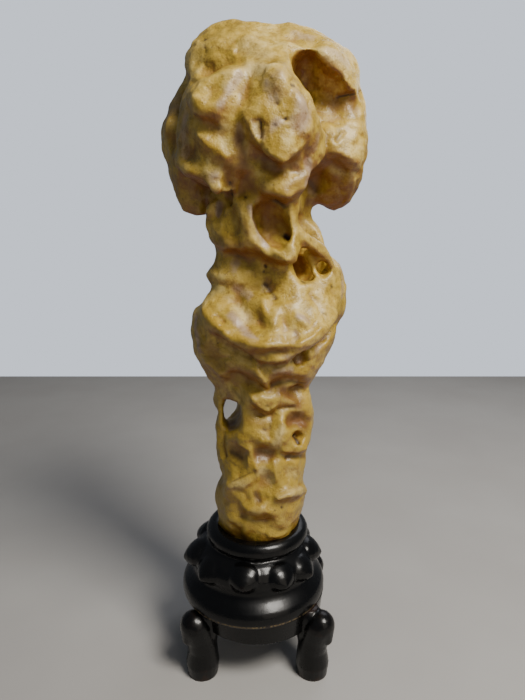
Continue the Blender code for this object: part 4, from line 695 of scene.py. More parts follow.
def set_stops(ramp: bpy.types.Node, stops: Sequence[tuple[float, str]]) -> bpy.types.NodeSocket:
    """Sets a colour ramp's stops.

    Args:
        ramp: A colour ramp node.
        stops: Pairs of (position, hex colour).

    Returns:
        The ramp's colour output.
    """
    elements = ramp.color_ramp.elements
    while len(elements) < len(stops):
        elements.new(0.5)
    for element, (position, colour) in zip(elements, stops):
        element.position = position
        element.color = linear(colour)
    return ramp.outputs["Color"]


def new_material(name: str) -> tuple[bpy.types.Material, bpy.types.NodeTree, bpy.types.Node]:
    """An empty material with its tree and its Principled shader."""
    material = bpy.data.materials.new(name)
    material.use_nodes = True
    return material, material.node_tree, material.node_tree.nodes["Principled BSDF"]


# --- finishes ---------------------------------------------------------------------------
@dataclass(frozen=True)
class WaxedStone:
    """Yellow stone, worn smooth by water and rubbed with wax.

    Its ochre varies slowly over the stone, with paler and mauve patches, mustard where wax
    has pooled, and dark specks in the open pores. Brown is painted in the hollows, on the
    undersides and in patches in the sheltered bends as painted shade, cream on the crests
    and pale patches on the tops as painted highlight, and the darkest patches are dirt in
    pits and cracks with painted shade under ledges.
    """

    name: str = "waxed_yellow_stone"
    tones: tuple[tuple[float, str], ...] = (
        (0.34, "#957A2A"), (0.45, "#AE9133"), (0.55, "#C0A245"), (0.68, "#D2B96C"),
    )
    foot: str = "#A68A30"
    mauve: str = "#AF9680"
    mustard: str = "#AC8C2A"
    # Brown patches of painted shade in the sheltered bends and under overhangs.
    shade_wash: str = "#70481C"
    # Pale patches of painted highlight on the tops and ridges that face the light.
    pale: str = "#DFCB90"
    # Brown painted shade on the undersides, which face down away from the light.
    under: str = "#80441C"
    # Cream painted highlight on the raised crests.
    crest: str = "#D6B968"
    # Brown painted shade in the hollows and creases.
    hollow: str = "#7C4A20"
    speck: str = "#6E4E22"
    # Near black: dirt in pits, cracks and pores, and painted shade under the beak and ledges.
    dirt_and_shade: str = "#2E1C10"
    # Each pattern's size in metres, its detail and its roughness.
    patterns: tuple[tuple[str, float, float, float], ...] = (
        ("cloud", 48 * MM, 4.0, 0.55),
        ("mottle", 9 * MM, 5.0, 0.65),
        ("grain", 1.6 * MM, 3.0, 0.6),
        ("drift", 20 * MM, 2.0, 0.5),
    )
    # Each bump's pattern, strength and depth in metres, and whether it is sunk.
    bumps: tuple[tuple[str, float, float, bool], ...] = (
        ("mottle", 0.7, 2.2 * MM, False),
        ("grain", 0.6, 0.5 * MM, False),
        ("pores", 0.7, 0.6 * MM, True),
    )
    pore_size: float = 5.5 * MM
    roughness: float = 0.40
    # How much smoother the stone is where it is rubbed, and duller in hollows and dirt.
    rubbed: float = 0.12
    dulled: float = 0.22
    ior: float = 1.5
    # The wax film, and the faint glow of light that enters the stone.
    wax: float = 0.16
    wax_roughness: float = 0.2
    glow: float = 0.03
    glow_depth: float = 2 * MM
    glow_spread: tuple[float, float, float] = (1.0, 0.6, 0.3)

    def material(self) -> bpy.types.Material:
        """Makes the material.

        Returns:
            The material, which reads the stone's tint and relief values.
        """
        material, tree, shader = new_material(self.name)
        place = add_node(tree, "ShaderNodeTexCoord").outputs["Object"]
        value: dict[str, bpy.types.NodeSocket] = {}
        for name, size, detail, rough in self.patterns:
            inputs = {"Vector": place, "Scale": 1 / size, "Detail": detail, "Roughness": rough}
            value[name] = add_node(tree, "ShaderNodeTexNoise", inputs).outputs[0]
        for name in [tint.value for tint in Tint] + ["relief"]:
            value[name] = add_node(tree, "ShaderNodeAttribute", attribute_name=name).outputs["Fac"]
        inputs = {"Vector": place, "Scale": 1 / self.pore_size}
        value["pore"] = add_node(tree, "ShaderNodeTexVoronoi", inputs).outputs[0]
        value["height"] = add_node(tree, "ShaderNodeSeparateXYZ", {0: place}).outputs["Z"]
        facing = add_node(tree, "ShaderNodeNewGeometry").outputs["Normal"]
        value["facing"] = add_node(tree, "ShaderNodeSeparateXYZ", {0: facing}).outputs["Z"]

        # Sums of a pattern and a part of another: (name, first, second, share of the second).
        for name, first, second, share in (
            ("tone", "mottle", "cloud", 1.6),
            ("low", "height", "mottle", 0.08),
            ("turned", "facing", "mottle", 1.2),
            ("mauve_edge", "mauve", "mottle", 1.5),
            ("mustard_edge", "mustard", "mottle", 1.5),
            ("shade_wash_edge", "shade_wash", "mottle", 1.0),
            ("painted_highlight_edge", "pale", "mottle", 1.0),
        ):
            inputs = {0: value[second], 1: share, 2: value[first]}
            value[name] = add_node(tree, "ShaderNodeMath", inputs, operation="MULTIPLY_ADD").outputs[0]

        # Shares that grow from 0 to the last number as a value runs from start to end.
        for name, source, start, end, top in (
            ("tone_share", "tone", 0.4, 2.2, 1.0),
            ("foot_share", "low", 0.38, 0.28, 0.9),
            # Painted shade: browner where the surface faces down.
            ("underside_shade_share", "turned", 0.55, -0.20, 0.88),
            ("mauve_share", "mauve_edge", 0.9, 1.5, 0.8),
            ("mauve_reach", "mauve", 0.0, 0.3, 1.0),
            ("mustard_share", "mustard_edge", 0.9, 1.5, 0.85),
            # Painted shade in the brown patches.
            ("shade_wash_share", "shade_wash_edge", 0.66, 1.40, 0.95),
            # Painted highlight in the pale patches.
            ("painted_highlight_share", "painted_highlight_edge", 0.62, 1.50, 0.7),
            ("mustard_reach", "mustard", 0.0, 0.3, 1.0),
            # Painted highlight: paler where the skin stands out of its surroundings.
            ("crest_highlight_share", "relief", 0.58, 0.95, 0.3),
            # Painted shade: browner where the skin sinks below its surroundings.
            ("hollow_shade_share", "relief", 0.38, 0.0, 0.6),
            ("speck_share", "grain", 0.56, 0.38, 0.4),
            ("speck_reach", "mottle", 0.56, 0.42, 1.0),
            ("pore_share", "pore", 0.13, 0.05, 0.8),
            ("pore_reach", "drift", 0.50, 0.60, 1.0),
            ("worn_share", "mottle", 0.3, 0.7, 0.26),
        ):
            inputs = {0: value[source], 1: start, 2: end, 3: 0.0, 4: top}
            value[name] = add_node(tree, "ShaderNodeMapRange", inputs).outputs[0]
        for name, first, second, how in (
            ("mauve_patch", "mauve_share", "mauve_reach", "MULTIPLY"),
            ("mustard_patch", "mustard_share", "mustard_reach", "MULTIPLY"),
            ("specks", "speck_share", "speck_reach", "MULTIPLY"),
            ("pores", "pore_share", "pore_reach", "MULTIPLY"),
            # Dirt and painted shade from the dark patches, with dirt in the pores.
            ("dirt_and_shade_patch", "dirt_and_shade", "pores", "MAXIMUM"),
            ("matt", "dirt_and_shade_patch", "hollow_shade_share", "MAXIMUM"),
        ):
            inputs = {0: value[first], 1: value[second]}
            value[name] = add_node(tree, "ShaderNodeMath", inputs, operation=how).outputs[0]

        colour = set_stops(add_node(tree, "ShaderNodeValToRGB", {0: value["tone_share"]}), self.tones)
        # Layers over the tone: the crest, pale, underside, hollow and brown-patch layers are painted
        # highlight and painted shade, and the darkest layer is dirt with painted shade under ledges.
        for hue, share in (
            (self.crest, "crest_highlight_share"),
            (self.foot, "foot_share"),
            (self.mauve, "mauve_patch"),
            (self.mustard, "mustard_patch"),
            (self.under, "underside_shade_share"),
            (self.hollow, "hollow_shade_share"),
            (self.shade_wash, "shade_wash_share"),
            (self.pale, "painted_highlight_share"),
            (self.speck, "specks"),
            (self.dirt_and_shade, "dirt_and_shade_patch"),
        ):
            inputs = {"Factor": value[share], MIX_UNDER: colour, MIX_OVER: linear(hue)}
            mixed = add_node(tree, "ShaderNodeMix", inputs, data_type="RGBA")
            colour = mixed.outputs[MIX_RESULT]
        tree.links.new(colour, shader.inputs["Base Color"])

        inputs = {0: value["worn_share"], 1: self.roughness - self.rubbed}
        rough = add_node(tree, "ShaderNodeMath", inputs).outputs[0]
        inputs = {0: value["matt"], 1: self.dulled, 2: rough}
        rough = add_node(tree, "ShaderNodeMath", inputs, operation="MULTIPLY_ADD").outputs[0]
        tree.links.new(rough, shader.inputs["Roughness"])
        for socket, number in (
            ("IOR", self.ior),
            ("Coat Weight", self.wax),
            ("Coat Roughness", self.wax_roughness),
            ("Subsurface Weight", self.glow),
            ("Subsurface Scale", self.glow_depth),
            ("Subsurface Radius", self.glow_spread),
        ):
            shader.inputs[socket].default_value = number
        normal: bpy.types.NodeSocket | None = None
        for source, strength, depth, sunk in self.bumps:
            inputs = {"Height": value[source], "Strength": strength, "Distance": depth}
            if normal:
                inputs["Normal"] = normal
            normal = add_node(tree, "ShaderNodeBump", inputs, invert=sunk).outputs[0]
        tree.links.new(normal, shader.inputs["Normal"])
        return material


@dataclass(frozen=True)
class BlackLacquer:
    """Black lacquer on carved wood, polished on the knobs and rubbed brown along edges.

    A thin tan line shows where the lacquer has worn through along the body's lower edge.
    """

    name: str = "black_lacquer"
    black: str = "#050505"
    brown: str = "#2A1A12"
    tan: str = "#8E7B58"
    roughness: float = 0.24
    # How much smoother and rougher the polish gets from place to place.
    smoother: float = 0.04
    rougher: float = 0.14
    # Each pattern's size in metres, its detail, and its upward scale, under 1 along grain.
    patterns: tuple[tuple[str, float, float, float], ...] = (
        ("haze", 22 * MM, 4.0, 1.0),
        ("grain", 2.2 * MM, 3.0, 0.25),
    )
    bumps: tuple[tuple[str, float, float, bool], ...] = (
        ("haze", 0.25, 1.2 * MM, False),
        ("grain", 0.18, 0.25 * MM, False),
    )
    # How strongly the wood gleams, and the thin clear film over it.
    gleam: float = 0.28
    film: float = 0.1
    film_roughness: float = 0.12

    def material(self) -> bpy.types.Material:
        """Makes the material.

        Returns:
            The material, which reads the wood's relief and rub values.
        """
        material, tree, shader = new_material(self.name)
        place = add_node(tree, "ShaderNodeTexCoord").outputs["Object"]
        value: dict[str, bpy.types.NodeSocket] = {}
        for name, size, detail, upward in self.patterns:
            inputs = {"Vector": place, "Scale": (1.0, 1.0, upward)}
            drawn = add_node(tree, "ShaderNodeMapping", inputs).outputs[0]
            inputs = {"Vector": drawn, "Scale": 1 / size, "Detail": detail}
            value[name] = add_node(tree, "ShaderNodeTexNoise", inputs).outputs[0]
        for name in ("relief", "rub"):
            value[name] = add_node(tree, "ShaderNodeAttribute", attribute_name=name).outputs["Fac"]

        # Values that run from bottom to top as their source runs from start to end.
        for name, source, start, end, bottom, top in (
            ("edge_share", "relief", 0.66, 0.98, 0.0, 0.7),
            ("edge_reach", "haze", 0.46, 0.62, 0.0, 1.0),
            ("rub_reach", "grain", 0.42, 0.62, 0.0, 0.9),
            ("gloss", "haze", 0.3, 0.75, self.roughness - self.smoother, self.roughness + self.rougher),
        ):
            inputs = {0: value[source], 1: start, 2: end, 3: bottom, 4: top}
            value[name] = add_node(tree, "ShaderNodeMapRange", inputs).outputs[0]
        for name, first, second, how in (
            ("worn_edge", "edge_share", "edge_reach", "MULTIPLY"),
            ("worn_line", "rub", "rub_reach", "MULTIPLY"),
            ("rough", "gloss", "worn_line", "ADD"),
        ):
            inputs = {0: value[first], 1: value[second]}
            value[name] = add_node(tree, "ShaderNodeMath", inputs, operation=how).outputs[0]

        colour: object = linear(self.black)
        for hue, share in ((self.brown, "worn_edge"), (self.tan, "worn_line")):
            inputs = {"Factor": value[share], MIX_UNDER: colour, MIX_OVER: linear(hue)}
            mixed = add_node(tree, "ShaderNodeMix", inputs, data_type="RGBA")
            colour = mixed.outputs[MIX_RESULT]
        tree.links.new(colour, shader.inputs["Base Color"])
        tree.links.new(value["rough"], shader.inputs["Roughness"])
        shader.inputs["Specular IOR Level"].default_value = self.gleam
        shader.inputs["Coat Weight"].default_value = self.film
        shader.inputs["Coat Roughness"].default_value = self.film_roughness
        normal: bpy.types.NodeSocket | None = None
        for source, strength, depth, sunk in self.bumps:
            inputs = {"Height": value[source], "Strength": strength, "Distance": depth}
            if normal:
                inputs["Normal"] = normal
            normal = add_node(tree, "ShaderNodeBump", inputs, invert=sunk).outputs[0]
        tree.links.new(normal, shader.inputs["Normal"])
        return material


@dataclass(frozen=True)
class PaleFloor:
    """Matt pale grey paper under the piece."""

    name: str = "pale_floor"
    greys: tuple[tuple[float, str], ...] = ((0.3, "#A9A6A2"), (0.7, "#AFADA9"))
    cloud_size: float = 1 / 6
    roughness: float = 0.75

    def material(self) -> bpy.types.Material:
        """Makes the material, with a faint unevenness."""
        material, tree, shader = new_material(self.name)
        place = add_node(tree, "ShaderNodeTexCoord").outputs["Object"]
        inputs = {"Vector": place, "Scale": 1 / self.cloud_size, "Detail": 3.0}
        cloud = add_node(tree, "ShaderNodeTexNoise", inputs).outputs["Fac"]
        colour = set_stops(add_node(tree, "ShaderNodeValToRGB", {"Fac": cloud}), self.greys)
        tree.links.new(colour, shader.inputs["Base Color"])
        shader.inputs["Roughness"].default_value = self.roughness
        return material


# --- the worked skin --------------------------------------------------------------------
class Skin:
    """An object's mesh as arrays, to be worn and painted along lines."""

    def __init__(self, item: bpy.types.Object) -> None:
        """Reads the object's mesh."""
        self.mesh = item.data
        count = len(self.mesh.vertices)
        self.places = np.empty(count * 3)
        self.mesh.vertices.foreach_get("co", self.places)
        self.places = self.places.reshape(-1, 3)
        self.normals = np.empty(count * 3, np.float32)
        self.mesh.vertex_normals.foreach_get("vector", self.normals)
        self.normals = self.normals.reshape(-1, 3).astype(float)
        self.tree = BVHTree.FromPolygons(
            [vertex.co for vertex in self.mesh.vertices],
            [tuple(face.vertices) for face in self.mesh.polygons],
        )

    def drop(self, station: Place) -> np.ndarray:
        """Where a station lies on the skin.

        Args:
            station: A spot of the camera's view, or a whole place in metres.

        Returns:
            The place in metres. Where the line of sight misses the stone, it is the skin
            nearest to where that line crosses the stone's middle.
        """
        if len(station) == 3:
            return np.array(self.tree.find_nearest(Vector(station))[0])
        eye = Vector(VIEW.place)
        sight = VIEW.sight(station)
        crossing = eye - sight * (eye.y / sight.y)
        return np.array(self.tree.ray_cast(eye, sight)[0] or self.tree.find_nearest(crossing)[0])

    def near(self, stations: Line, reach: float) -> tuple[np.ndarray, np.ndarray]:
        """The points within reach of a line along the skin.

        Args:
            stations: The line's stations.
            reach: How far from it, in metres.

        Returns:
            The points' numbers, and how strongly the line acts on each, 0 to 1.
        """
        line = [self.drop(station) for station in stations]
        low, high = np.min(line, axis=0) - reach, np.max(line, axis=0) + reach
        found = np.flatnonzero(((self.places > low) & (self.places < high)).all(axis=1))
        gap = np.full(len(found), np.inf)
        for start, end in zip(line, line[1:]):
            along = end - start
            share = np.clip((self.places[found] - start) @ along / max(along @ along, 1e-12), 0, 1)
            away = self.places[found] - start - share[:, None] * along
            gap = np.minimum(gap, np.linalg.norm(away, axis=1))
        return found, np.clip(1 - (gap / reach) ** 2, 0, 1) ** 2

    def wear(self, marks: Sequence[Mark]) -> None:
        """Moves the skin along its normals by all marks."""
        moved = np.zeros_like(self.places)
        for mark in marks:
            found, weight = self.near(mark.stations, mark.reach * MM)
            moved[found] += self.normals[found] * (weight * mark.rise * MM)[:, None]
        self.places += moved
        self.mesh.vertices.foreach_set("co", self.places.ravel())
        self.mesh.update()

    def roughen(
        self, ripples: Sequence[tuple[float, float]], ridges: Sequence[tuple[float, float]]
    ) -> None:
        """Swells and sinks the skin unevenly.

        Args:
            ripples: Pairs of (wave length, height) of round swells.
            ridges: Pairs of (wave length, height) of worn bowls with ridges between them.
        """
        for number, (place, normal) in enumerate(zip(self.places, self.normals)):
            at = Vector(place)
            rise = sum(height * noise.noise(at / length) for length, height in ripples)
            rise += sum(height * (0.5 - 2 * abs(noise.noise(at / length))) for length, height in ridges)
            self.places[number] += normal * rise
        self.mesh.vertices.foreach_set("co", self.places.ravel())
        self.mesh.update()

    def paint(self, name: str, values: np.ndarray) -> None:
        """Keeps one value at each point under a name."""
        layer = self.mesh.attributes.new(name, "FLOAT", "POINT")
        layer.data.foreach_set("value", np.ascontiguousarray(values, np.float32))

    def wash(self, washes: dict[Tint, Sequence[Wash]]) -> None:
        """Paints all tints: the strongest patch counts where several overlap."""
        for tint, patches in washes.items():
            values = np.zeros(len(self.places))
            for patch in patches:
                found, weight = self.near(patch.stations, patch.reach * MM)
                values[found] = np.maximum(values[found], weight * patch.strength)
            self.paint(tint.value, values)

    def relief(self, steps: int, depth: float) -> np.ndarray:
        """How far each point stands out of, or sinks below, the skin round it.

        Args:
            steps: How many times a point takes the mean of its neighbours.
            depth: The height that counts as full.

        Returns:
            Values from 0 in a hollow over 0.5 on a flat place to 1 on a crest.
        """
        edges = np.empty(len(self.mesh.edges) * 2, np.int32)
        self.mesh.edges.foreach_get("vertices", edges)
        first, second = edges.reshape(-1, 2).T
        count = len(self.places)
        share = np.bincount(first, minlength=count) + np.bincount(second, minlength=count)
        mean = self.places.copy()
        for _ in range(steps):
            mean = np.stack([
                np.bincount(first, mean[second, axis], count) + np.bincount(second, mean[first, axis], count)
                for axis in range(3)
            ], axis=1) / np.maximum(share, 1)[:, None]
        out = ((self.places - mean) * self.normals).sum(axis=1)
        return np.clip(0.5 + 0.5 * out / depth, 0, 1)


# --- the rock ---------------------------------------------------------------------------
@dataclass
class Rock:
    """The stone: one upright piece with an overhanging head, a neck, a bowl and a column."""

    node: str = "rock"
    voxel: float = 1.25 * MM
    triangles: int = 185000
    smoothing: int = 6
    last_smoothing: int = 1
    # The small marks that are strewn by rule: their number, and spans in mm.
    strewn: int = 220
    strewn_length: tuple[float, float] = (2.0, 14.0)
    strewn_reach: tuple[float, float] = (1.8, 5.0)
    strewn_rise: tuple[float, float] = (-1.2, 0.8)
    ripples: tuple[tuple[float, float], ...] = (
        (12 * MM, 0.8 * MM), (5 * MM, 0.6 * MM), (2.6 * MM, 0.3 * MM),
    )
    ridges: tuple[tuple[float, float], ...] = ((30 * MM, 1.2 * MM), (15 * MM, 0.6 * MM))
    # The broad and the fine relief: steps of averaging, full height, share.
    reliefs: tuple[tuple[int, float, float], ...] = ((40, 3.0 * MM, 0.55), (6, 0.6 * MM, 0.45))
    # Faces that look less far towards +Y than a number drawn from this span get no mark.
    hind: tuple[float, float] = (-1.0, 0.6)
    seed: int = 11

    def build(self) -> bpy.types.Object:
        """Draws the solid's skin finer, wears it and paints it.

        Returns:
            The rock.
        """
        work = bmesh.new()
        work.from_mesh(frame["nodes"][self.node].data)
        bmesh.ops.remove_doubles(work, verts=work.verts[:], dist=WELD)
        rock = new_object("rock_stone", work)
        redraw(rock, self.voxel, self.smoothing, finer=1)
        skin = Skin(rock)
        skin.wear(MARKS + tuple(self.scratches()) + tuple(self.weathering(skin)))
        skin.roughen(self.ripples, self.ridges)
        redraw(rock, self.voxel, self.last_smoothing)
        thin_out(rock, self.triangles)
        skin = Skin(rock)
        skin.wash(WASHES)
        # The relief is what the stone's material darkens in hollows as painted shade and lightens on crests
        # as painted highlight.
        relief = sum(share * skin.relief(steps, depth) for steps, depth, share in self.reliefs)
        skin.paint("relief", relief)
        return rock

    def scratches(self) -> list[Mark]:
        """The rows of scratches as single marks."""
        marks = []
        for hatch in HATCHES:
            for number in range(hatch.count):
                share = number / (hatch.count - 1)
                line = tuple(
                    tuple(a + (b - a) * share for a, b in zip(start, end))
                    for start, end in zip(hatch.first, hatch.last)
                )
                marks.append(Mark(hatch.name, hatch.rise, hatch.reach, line))
        return marks

    def weathering(self, skin: Skin) -> list[Mark]:
        """Small marks strewn by rule all over the stone, more on its sides and back."""
        dice = np.random.default_rng(self.seed)
        marks = []
        while len(marks) < self.strewn:
            spot = dice.integers(len(skin.places))
            if skin.normals[spot][1] < dice.uniform(*self.hind):
                continue
            way = np.cross(dice.normal(size=3), skin.normals[spot])
            way *= dice.uniform(*self.strewn_length) * MM / np.linalg.norm(way)
            line = (tuple(skin.places[spot] - way / 2), tuple(skin.places[spot] + way / 2))
            rise = dice.uniform(*self.strewn_rise)
            marks.append(Mark("weathering", rise, dice.uniform(*self.strewn_reach), line))
        return marks

    def dress(self, rock: bpy.types.Object, stone: bpy.types.Material) -> None:
        """Gives the rock its finish, puts it on the root body and hides the node it replaces."""
        rock.data.materials.clear()
        rock.data.materials.append(stone)
        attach(rock, "root")
        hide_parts(self.node)


# --- the stand --------------------------------------------------------------------------
class Knob(NamedTuple):
    """A pointed swelling: its bearing from the front round towards +X, and its point."""

    bearing: float
    height: float
    reach: float


@dataclass
class Woodwork:
    """What all pieces of the stand share: how their wood is drawn and lacquered."""

    voxel: float = 0.9 * MM
    play: float = 0.35 * MM
    round_steps: int = 144
    smoothing: int = 5
    relief_steps: int = 8
    relief_depth: float = 0.5 * MM

    def aged(self, item: bpy.types.Object, rub: tuple[float, float] | None = None) -> None:
        """Paints relief and rubbed-through lacquer on a piece.

        Args:
            item: The piece.
            rub: Height and half width of a worn line round it in mm, or None for none.
        """
        skin = Skin(item)
        skin.paint("relief", skin.relief(self.relief_steps, self.relief_depth))
        worn = np.zeros(len(skin.places))
        if rub:
            worn = np.clip(1 - (np.abs(skin.places[:, 2] / MM - rub[0]) / rub[1]) ** 2, 0, 1)
        skin.paint("rub", worn)

    def dress(self, item: bpy.types.Object, lacquer: bpy.types.Material, node: str) -> None:
        """Gives a piece its lacquer, puts it on the root body and hides the node it replaces."""
        item.data.materials.clear()
        item.data.materials.append(lacquer)
        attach(item, "root")
        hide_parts(node)


@dataclass
class StandBody(Woodwork):
    """The turned body with its ring of pointed knobs, and the collar round the socket."""

    node: str = "stand_body"
    smoothing: int = 14
    bottom: float = 69.5 * MM
    middle: tuple[float, float] = (-9.5, 0)
    outline: tuple[tuple[float, float], ...] = (
        (0, 66), (71, 66), (73, 70.5), (73.7, 73.5), (73.2, 78.5), (71.5, 82.5), (68, 86),
        (64, 89.5), (61.5, 92.5), (60.5, 96), (61.5, 102.5), (61, 108), (58, 114), (53, 119),
        (48, 122), (45, 127), (42, 134), (0, 134),
    )
    collar_middle: tuple[float, float] = (-5.5, 0)
    collar_height: float = 131
    collar_radius: float = 43
    collar_half: float = 9
    knobs: tuple[Knob, ...] = (
        Knob(-8, 106, 68), Knob(28.6, 104, 68.5), Knob(57, 102, 70), Knob(86, 106, 71),
        Knob(118, 107, 69), Knob(149, 108, 69), Knob(180, 106, 69), Knob(-149, 108, 69),
        Knob(-117, 108, 69), Knob(-80, 105, 72.5), Knob(-48, 103, 69),
    )
    # A knob's oval rings: how far behind its point, half width, half height, lift.
    knob_rings: tuple[tuple[float, ...], ...] = (
        (22, 18.5, 13, 4), (14, 17, 12, 3.5), (8, 13.5, 9.5, 2), (4, 8.5, 6.5, 0.8),
    )
    knob_tip: float = 3.6
    ring_points: int = 24
    triangles: int = 150000
    # The worn line's height and half width in mm, and a height that clears the socket.
    worn_line: tuple[float, float] = (71.2, 1.1)
    above_socket: float = 170 * MM

    def build(self, rock: bpy.types.Object) -> bpy.types.Object:
        """Builds the body and cuts the rock's socket into it.

        Args:
            rock: The rock that stands in the socket.

        Returns:
            The body.
        """
        work = bmesh.new()
        add_turned(work, self.outline, self.middle, self.round_steps)
        ring = [
            (self.collar_radius + across, self.collar_height + up)
            for across, up in self.oval(self.collar_half, self.collar_half)
        ]
        add_turned(work, ring, self.collar_middle, self.round_steps, closed=True)
        for knob in self.knobs:
            self.add_knob(work, knob)
        body = new_object("stand_body_wood", work)
        redraw(body, self.voxel, self.smoothing)
        trimmed(body, self.bottom, keep_above=True)
        thin_out(body, self.triangles)
        self.aged(body, self.worn_line)
        subtract(body, swollen_copy(rock, self.play, self.above_socket))
        body.data.shade_smooth()
        return body

    def oval(self, half_width: float, half_height: float) -> list[tuple[float, float]]:
        """The points (across, up) of an upright oval about its middle."""
        turns = [math.tau * step / self.ring_points for step in range(self.ring_points)]
        return [(half_width * math.cos(turn), half_height * math.sin(turn)) for turn in turns]

    def add_knob(self, work: bmesh.types.BMesh, knob: Knob) -> None:
        """Adds a broad swelling on the body's wall that runs out to a small blunt point."""
        bearing = math.radians(knob.bearing)
        out = Vector((math.sin(bearing), -math.cos(bearing), 0))
        side = Vector((math.cos(bearing), math.sin(bearing), 0))
        foot = Vector((*self.middle, knob.height))
        tip = bmesh.new()
        at = Matrix.Translation((foot + out * (knob.reach - self.knob_tip)) * MM)
        bmesh.ops.create_icosphere(
            tip, subdivisions=BALL_LEVELS, radius=self.knob_tip * MM, matrix=at
        )
        points = [corner.co.copy() for corner in tip.verts]
        tip.free()
        for setback, half_width, half_height, lift in self.knob_rings:
            middle = foot + out * (knob.reach - setback)
            for across, up in self.oval(half_width, half_height):
                points.append((middle + side * across + Vector((0, 0, lift + up))) * MM)
        add_hull(work, points)


@dataclass
class Leg(Woodwork):
    """One leg: a knee that stands proud, a slimmer shank and a swelling foot.

    Its side is 1 towards +X and -1 towards -X, and its end is 1 at the rear, -1 in front.
    """

    node: str = "leg"
    side: int = 1
    end: int = 1
    middle: tuple[float, float] = (-5, 0)
    top: float = 69.1 * MM
    triangles: int = 16000
    # Stations (x, y, z, radius) of the shank, the knee and the root in the band.
    bars: tuple[Line, ...] = (
        (
            (60, 47, 53, 15), (56.5, 46, 40, 14), (54, 45, 27, 14.5),
            (54.5, 44.5, 12, 16.5), (54.5, 44.5, 2, 15.5),
        ),
        ((62, 48, 55, 13.5), (67, 52, 42, 6)),
        ((50, 40, 60, 13), (50, 41, 45, 12), (51, 42, 26, 10)),
    )

    def build(self) -> bpy.types.Object:
        """Builds the leg.

        Returns:
            The leg.
        """
        work = bmesh.new()
        across, along = self.middle
        for bar in self.bars:
            stations = [(across + x * self.side, along + y * self.end, z, r) for x, y, z, r in bar]
            add_bar(work, stations)
        leg = new_object(self.node + "_wood", work)
        redraw(leg, self.voxel, self.smoothing)
        trimmed(leg, 0.0, keep_above=True)
        trimmed(leg, self.top, keep_above=False)
        thin_out(leg, self.triangles)
        self.aged(leg)
        return leg


@dataclass
class Apron(Woodwork):
    """The band under the body that the legs are let into."""

    node: str = "apron"
    middle: tuple[float, float] = (-5, 0)
    round_steps: int = 160
    sharp: float = 35.0
    outline: tuple[tuple[float, float], ...] = (
        (53, 51), (57, 46), (64, 45.5), (66.5, 48), (67.5, 58), (69, 69.1), (53, 69.1),
    )

    def build(self, legs: Sequence[bpy.types.Object]) -> bpy.types.Object:
        """Builds the band and lets the legs into it.

        Args:
            legs: The four legs.

        Returns:
            The band.
        """
        work = bmesh.new()
        add_turned(work, self.outline, self.middle, self.round_steps, closed=True)
        apron = new_object("apron_wood", work)
        for leg in legs:
            subtract(apron, swollen_copy(leg, self.play))
        apron.data.shade_smooth()
        apron.data.set_sharp_from_angle(angle=math.radians(self.sharp))
        self.aged(apron)
        return apron


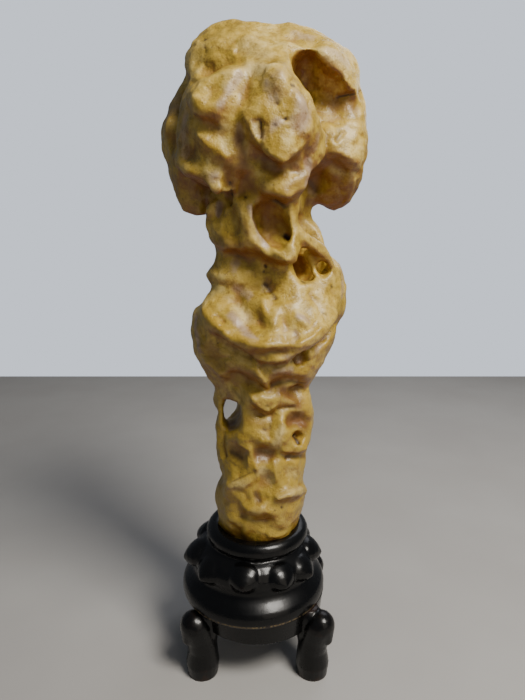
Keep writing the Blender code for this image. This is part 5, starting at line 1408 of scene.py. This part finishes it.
# --- the studio -------------------------------------------------------------------------
@dataclass
class Studio:
    """A pale floor, soft lights, the air round the piece and the camera."""

    floor_half: float = 1.1
    air: str = "#C4CBD6"
    air_strength: float = 0.22
    wall_strength: float = 1.5
    lit_place: tuple[float, float, float] = (0, 0, 0.35)
    # Each soft light: its name, place, side of its square face, power in watts, colour.
    lights: tuple[tuple[str, Place, float, float, str], ...] = (
        ("key", (0.62, -0.66, 1.35), 0.5, 28.0, "#FFFAF2"),
        ("fill", (0.9, -1.4, 0.75), 1.2, 3.4, "#FFF2E0"),
        ("back", (0.5, 0.9, 1.1), 0.8, 4.0, "#F4F6FF"),
    )

    def build(self) -> None:
        """Sets up floor, air, lights and camera."""
        work = bmesh.new()
        bmesh.ops.create_grid(work, x_segments=8, y_segments=8, size=self.floor_half)
        floor = new_object("studio_floor", work)
        floor.data.materials.append(PaleFloor().material())
        self.fill_air()
        for light in self.lights:
            self.add_light(*light)
        self.set_camera()

    def fill_air(self) -> None:
        """Gives the air its light, and the camera a brighter, plain wall behind the piece."""
        world = bpy.data.worlds.new("studio_air")
        world.use_nodes = True
        tree = world.node_tree
        air = tree.nodes["Background"]
        air.inputs["Color"].default_value = linear(self.air)
        air.inputs["Strength"].default_value = self.air_strength
        inputs = {"Color": linear(self.air), "Strength": self.wall_strength}
        wall = add_node(tree, "ShaderNodeBackground", inputs)
        seen = add_node(tree, "ShaderNodeLightPath").outputs["Is Camera Ray"]
        both = add_node(tree, "ShaderNodeMixShader", {0: seen, 1: air.outputs[0], 2: wall.outputs[0]})
        tree.links.new(both.outputs[0], tree.nodes["World Output"].inputs["Surface"])
        bpy.context.scene.world = world

    def set_camera(self) -> None:
        """Sets up the camera as the view says."""
        lens = bpy.data.cameras.new("camera")
        lens.lens = VIEW.lens
        lens.sensor_width = VIEW.sensor
        camera = bpy.data.objects.new("camera", lens)
        camera.location = VIEW.place
        camera.rotation_euler = (math.radians(VIEW.tilt), 0.0, 0.0)
        bpy.context.scene.collection.objects.link(camera)
        bpy.context.scene.camera = camera

    def add_light(self, name: str, at: Place, size: float, power: float, colour: str) -> None:
        """Adds one soft light that faces the middle of the piece.

        Args:
            name: The light's name.
            at: Its place in metres.
            size: The side of its square face.
            power: Its strength in watts.
            colour: Its hex colour.
        """
        lamp = bpy.data.lights.new(name, "AREA")
        lamp.shape = "SQUARE"
        lamp.size = size
        lamp.energy = power
        lamp.color = linear(colour)[:3]
        item = bpy.data.objects.new(name, lamp)
        item.location = at
        way = Vector(self.lit_place) - Vector(at)
        item.rotation_euler = way.to_track_quat("-Z", "Y").to_euler()
        bpy.context.scene.collection.objects.link(item)


def main() -> None:
    """Builds and dresses the rock and its stand, then the studio."""
    logging.basicConfig(level=logging.INFO, format="%(message)s")
    stone = WaxedStone().material()
    lacquer = BlackLacquer().material()

    rock_maker = Rock()
    rock = rock_maker.build()
    rock_maker.dress(rock, stone)
    log.info("rock: %d faces", len(rock.data.polygons))

    body_maker = StandBody()
    body = body_maker.build(rock)
    body_maker.dress(body, lacquer, body_maker.node)
    log.info("stand body: %d faces", len(body.data.polygons))

    legs = []
    for name, side, end in (
        ("leg_front_left", -1, -1),
        ("leg_front_right", 1, -1),
        ("leg_rear_left", -1, 1),
        ("leg_rear_right", 1, 1),
    ):
        leg_maker = Leg(node=name, side=side, end=end)
        leg = leg_maker.build()
        leg_maker.dress(leg, lacquer, leg_maker.node)
        legs.append(leg)
        log.info("%s: %d faces", name, len(leg.data.polygons))

    apron_maker = Apron()
    apron = apron_maker.build(legs)
    apron_maker.dress(apron, lacquer, apron_maker.node)
    log.info("apron: %d faces", len(apron.data.polygons))

    Studio().build()


if __name__ == "__main__":
    main()
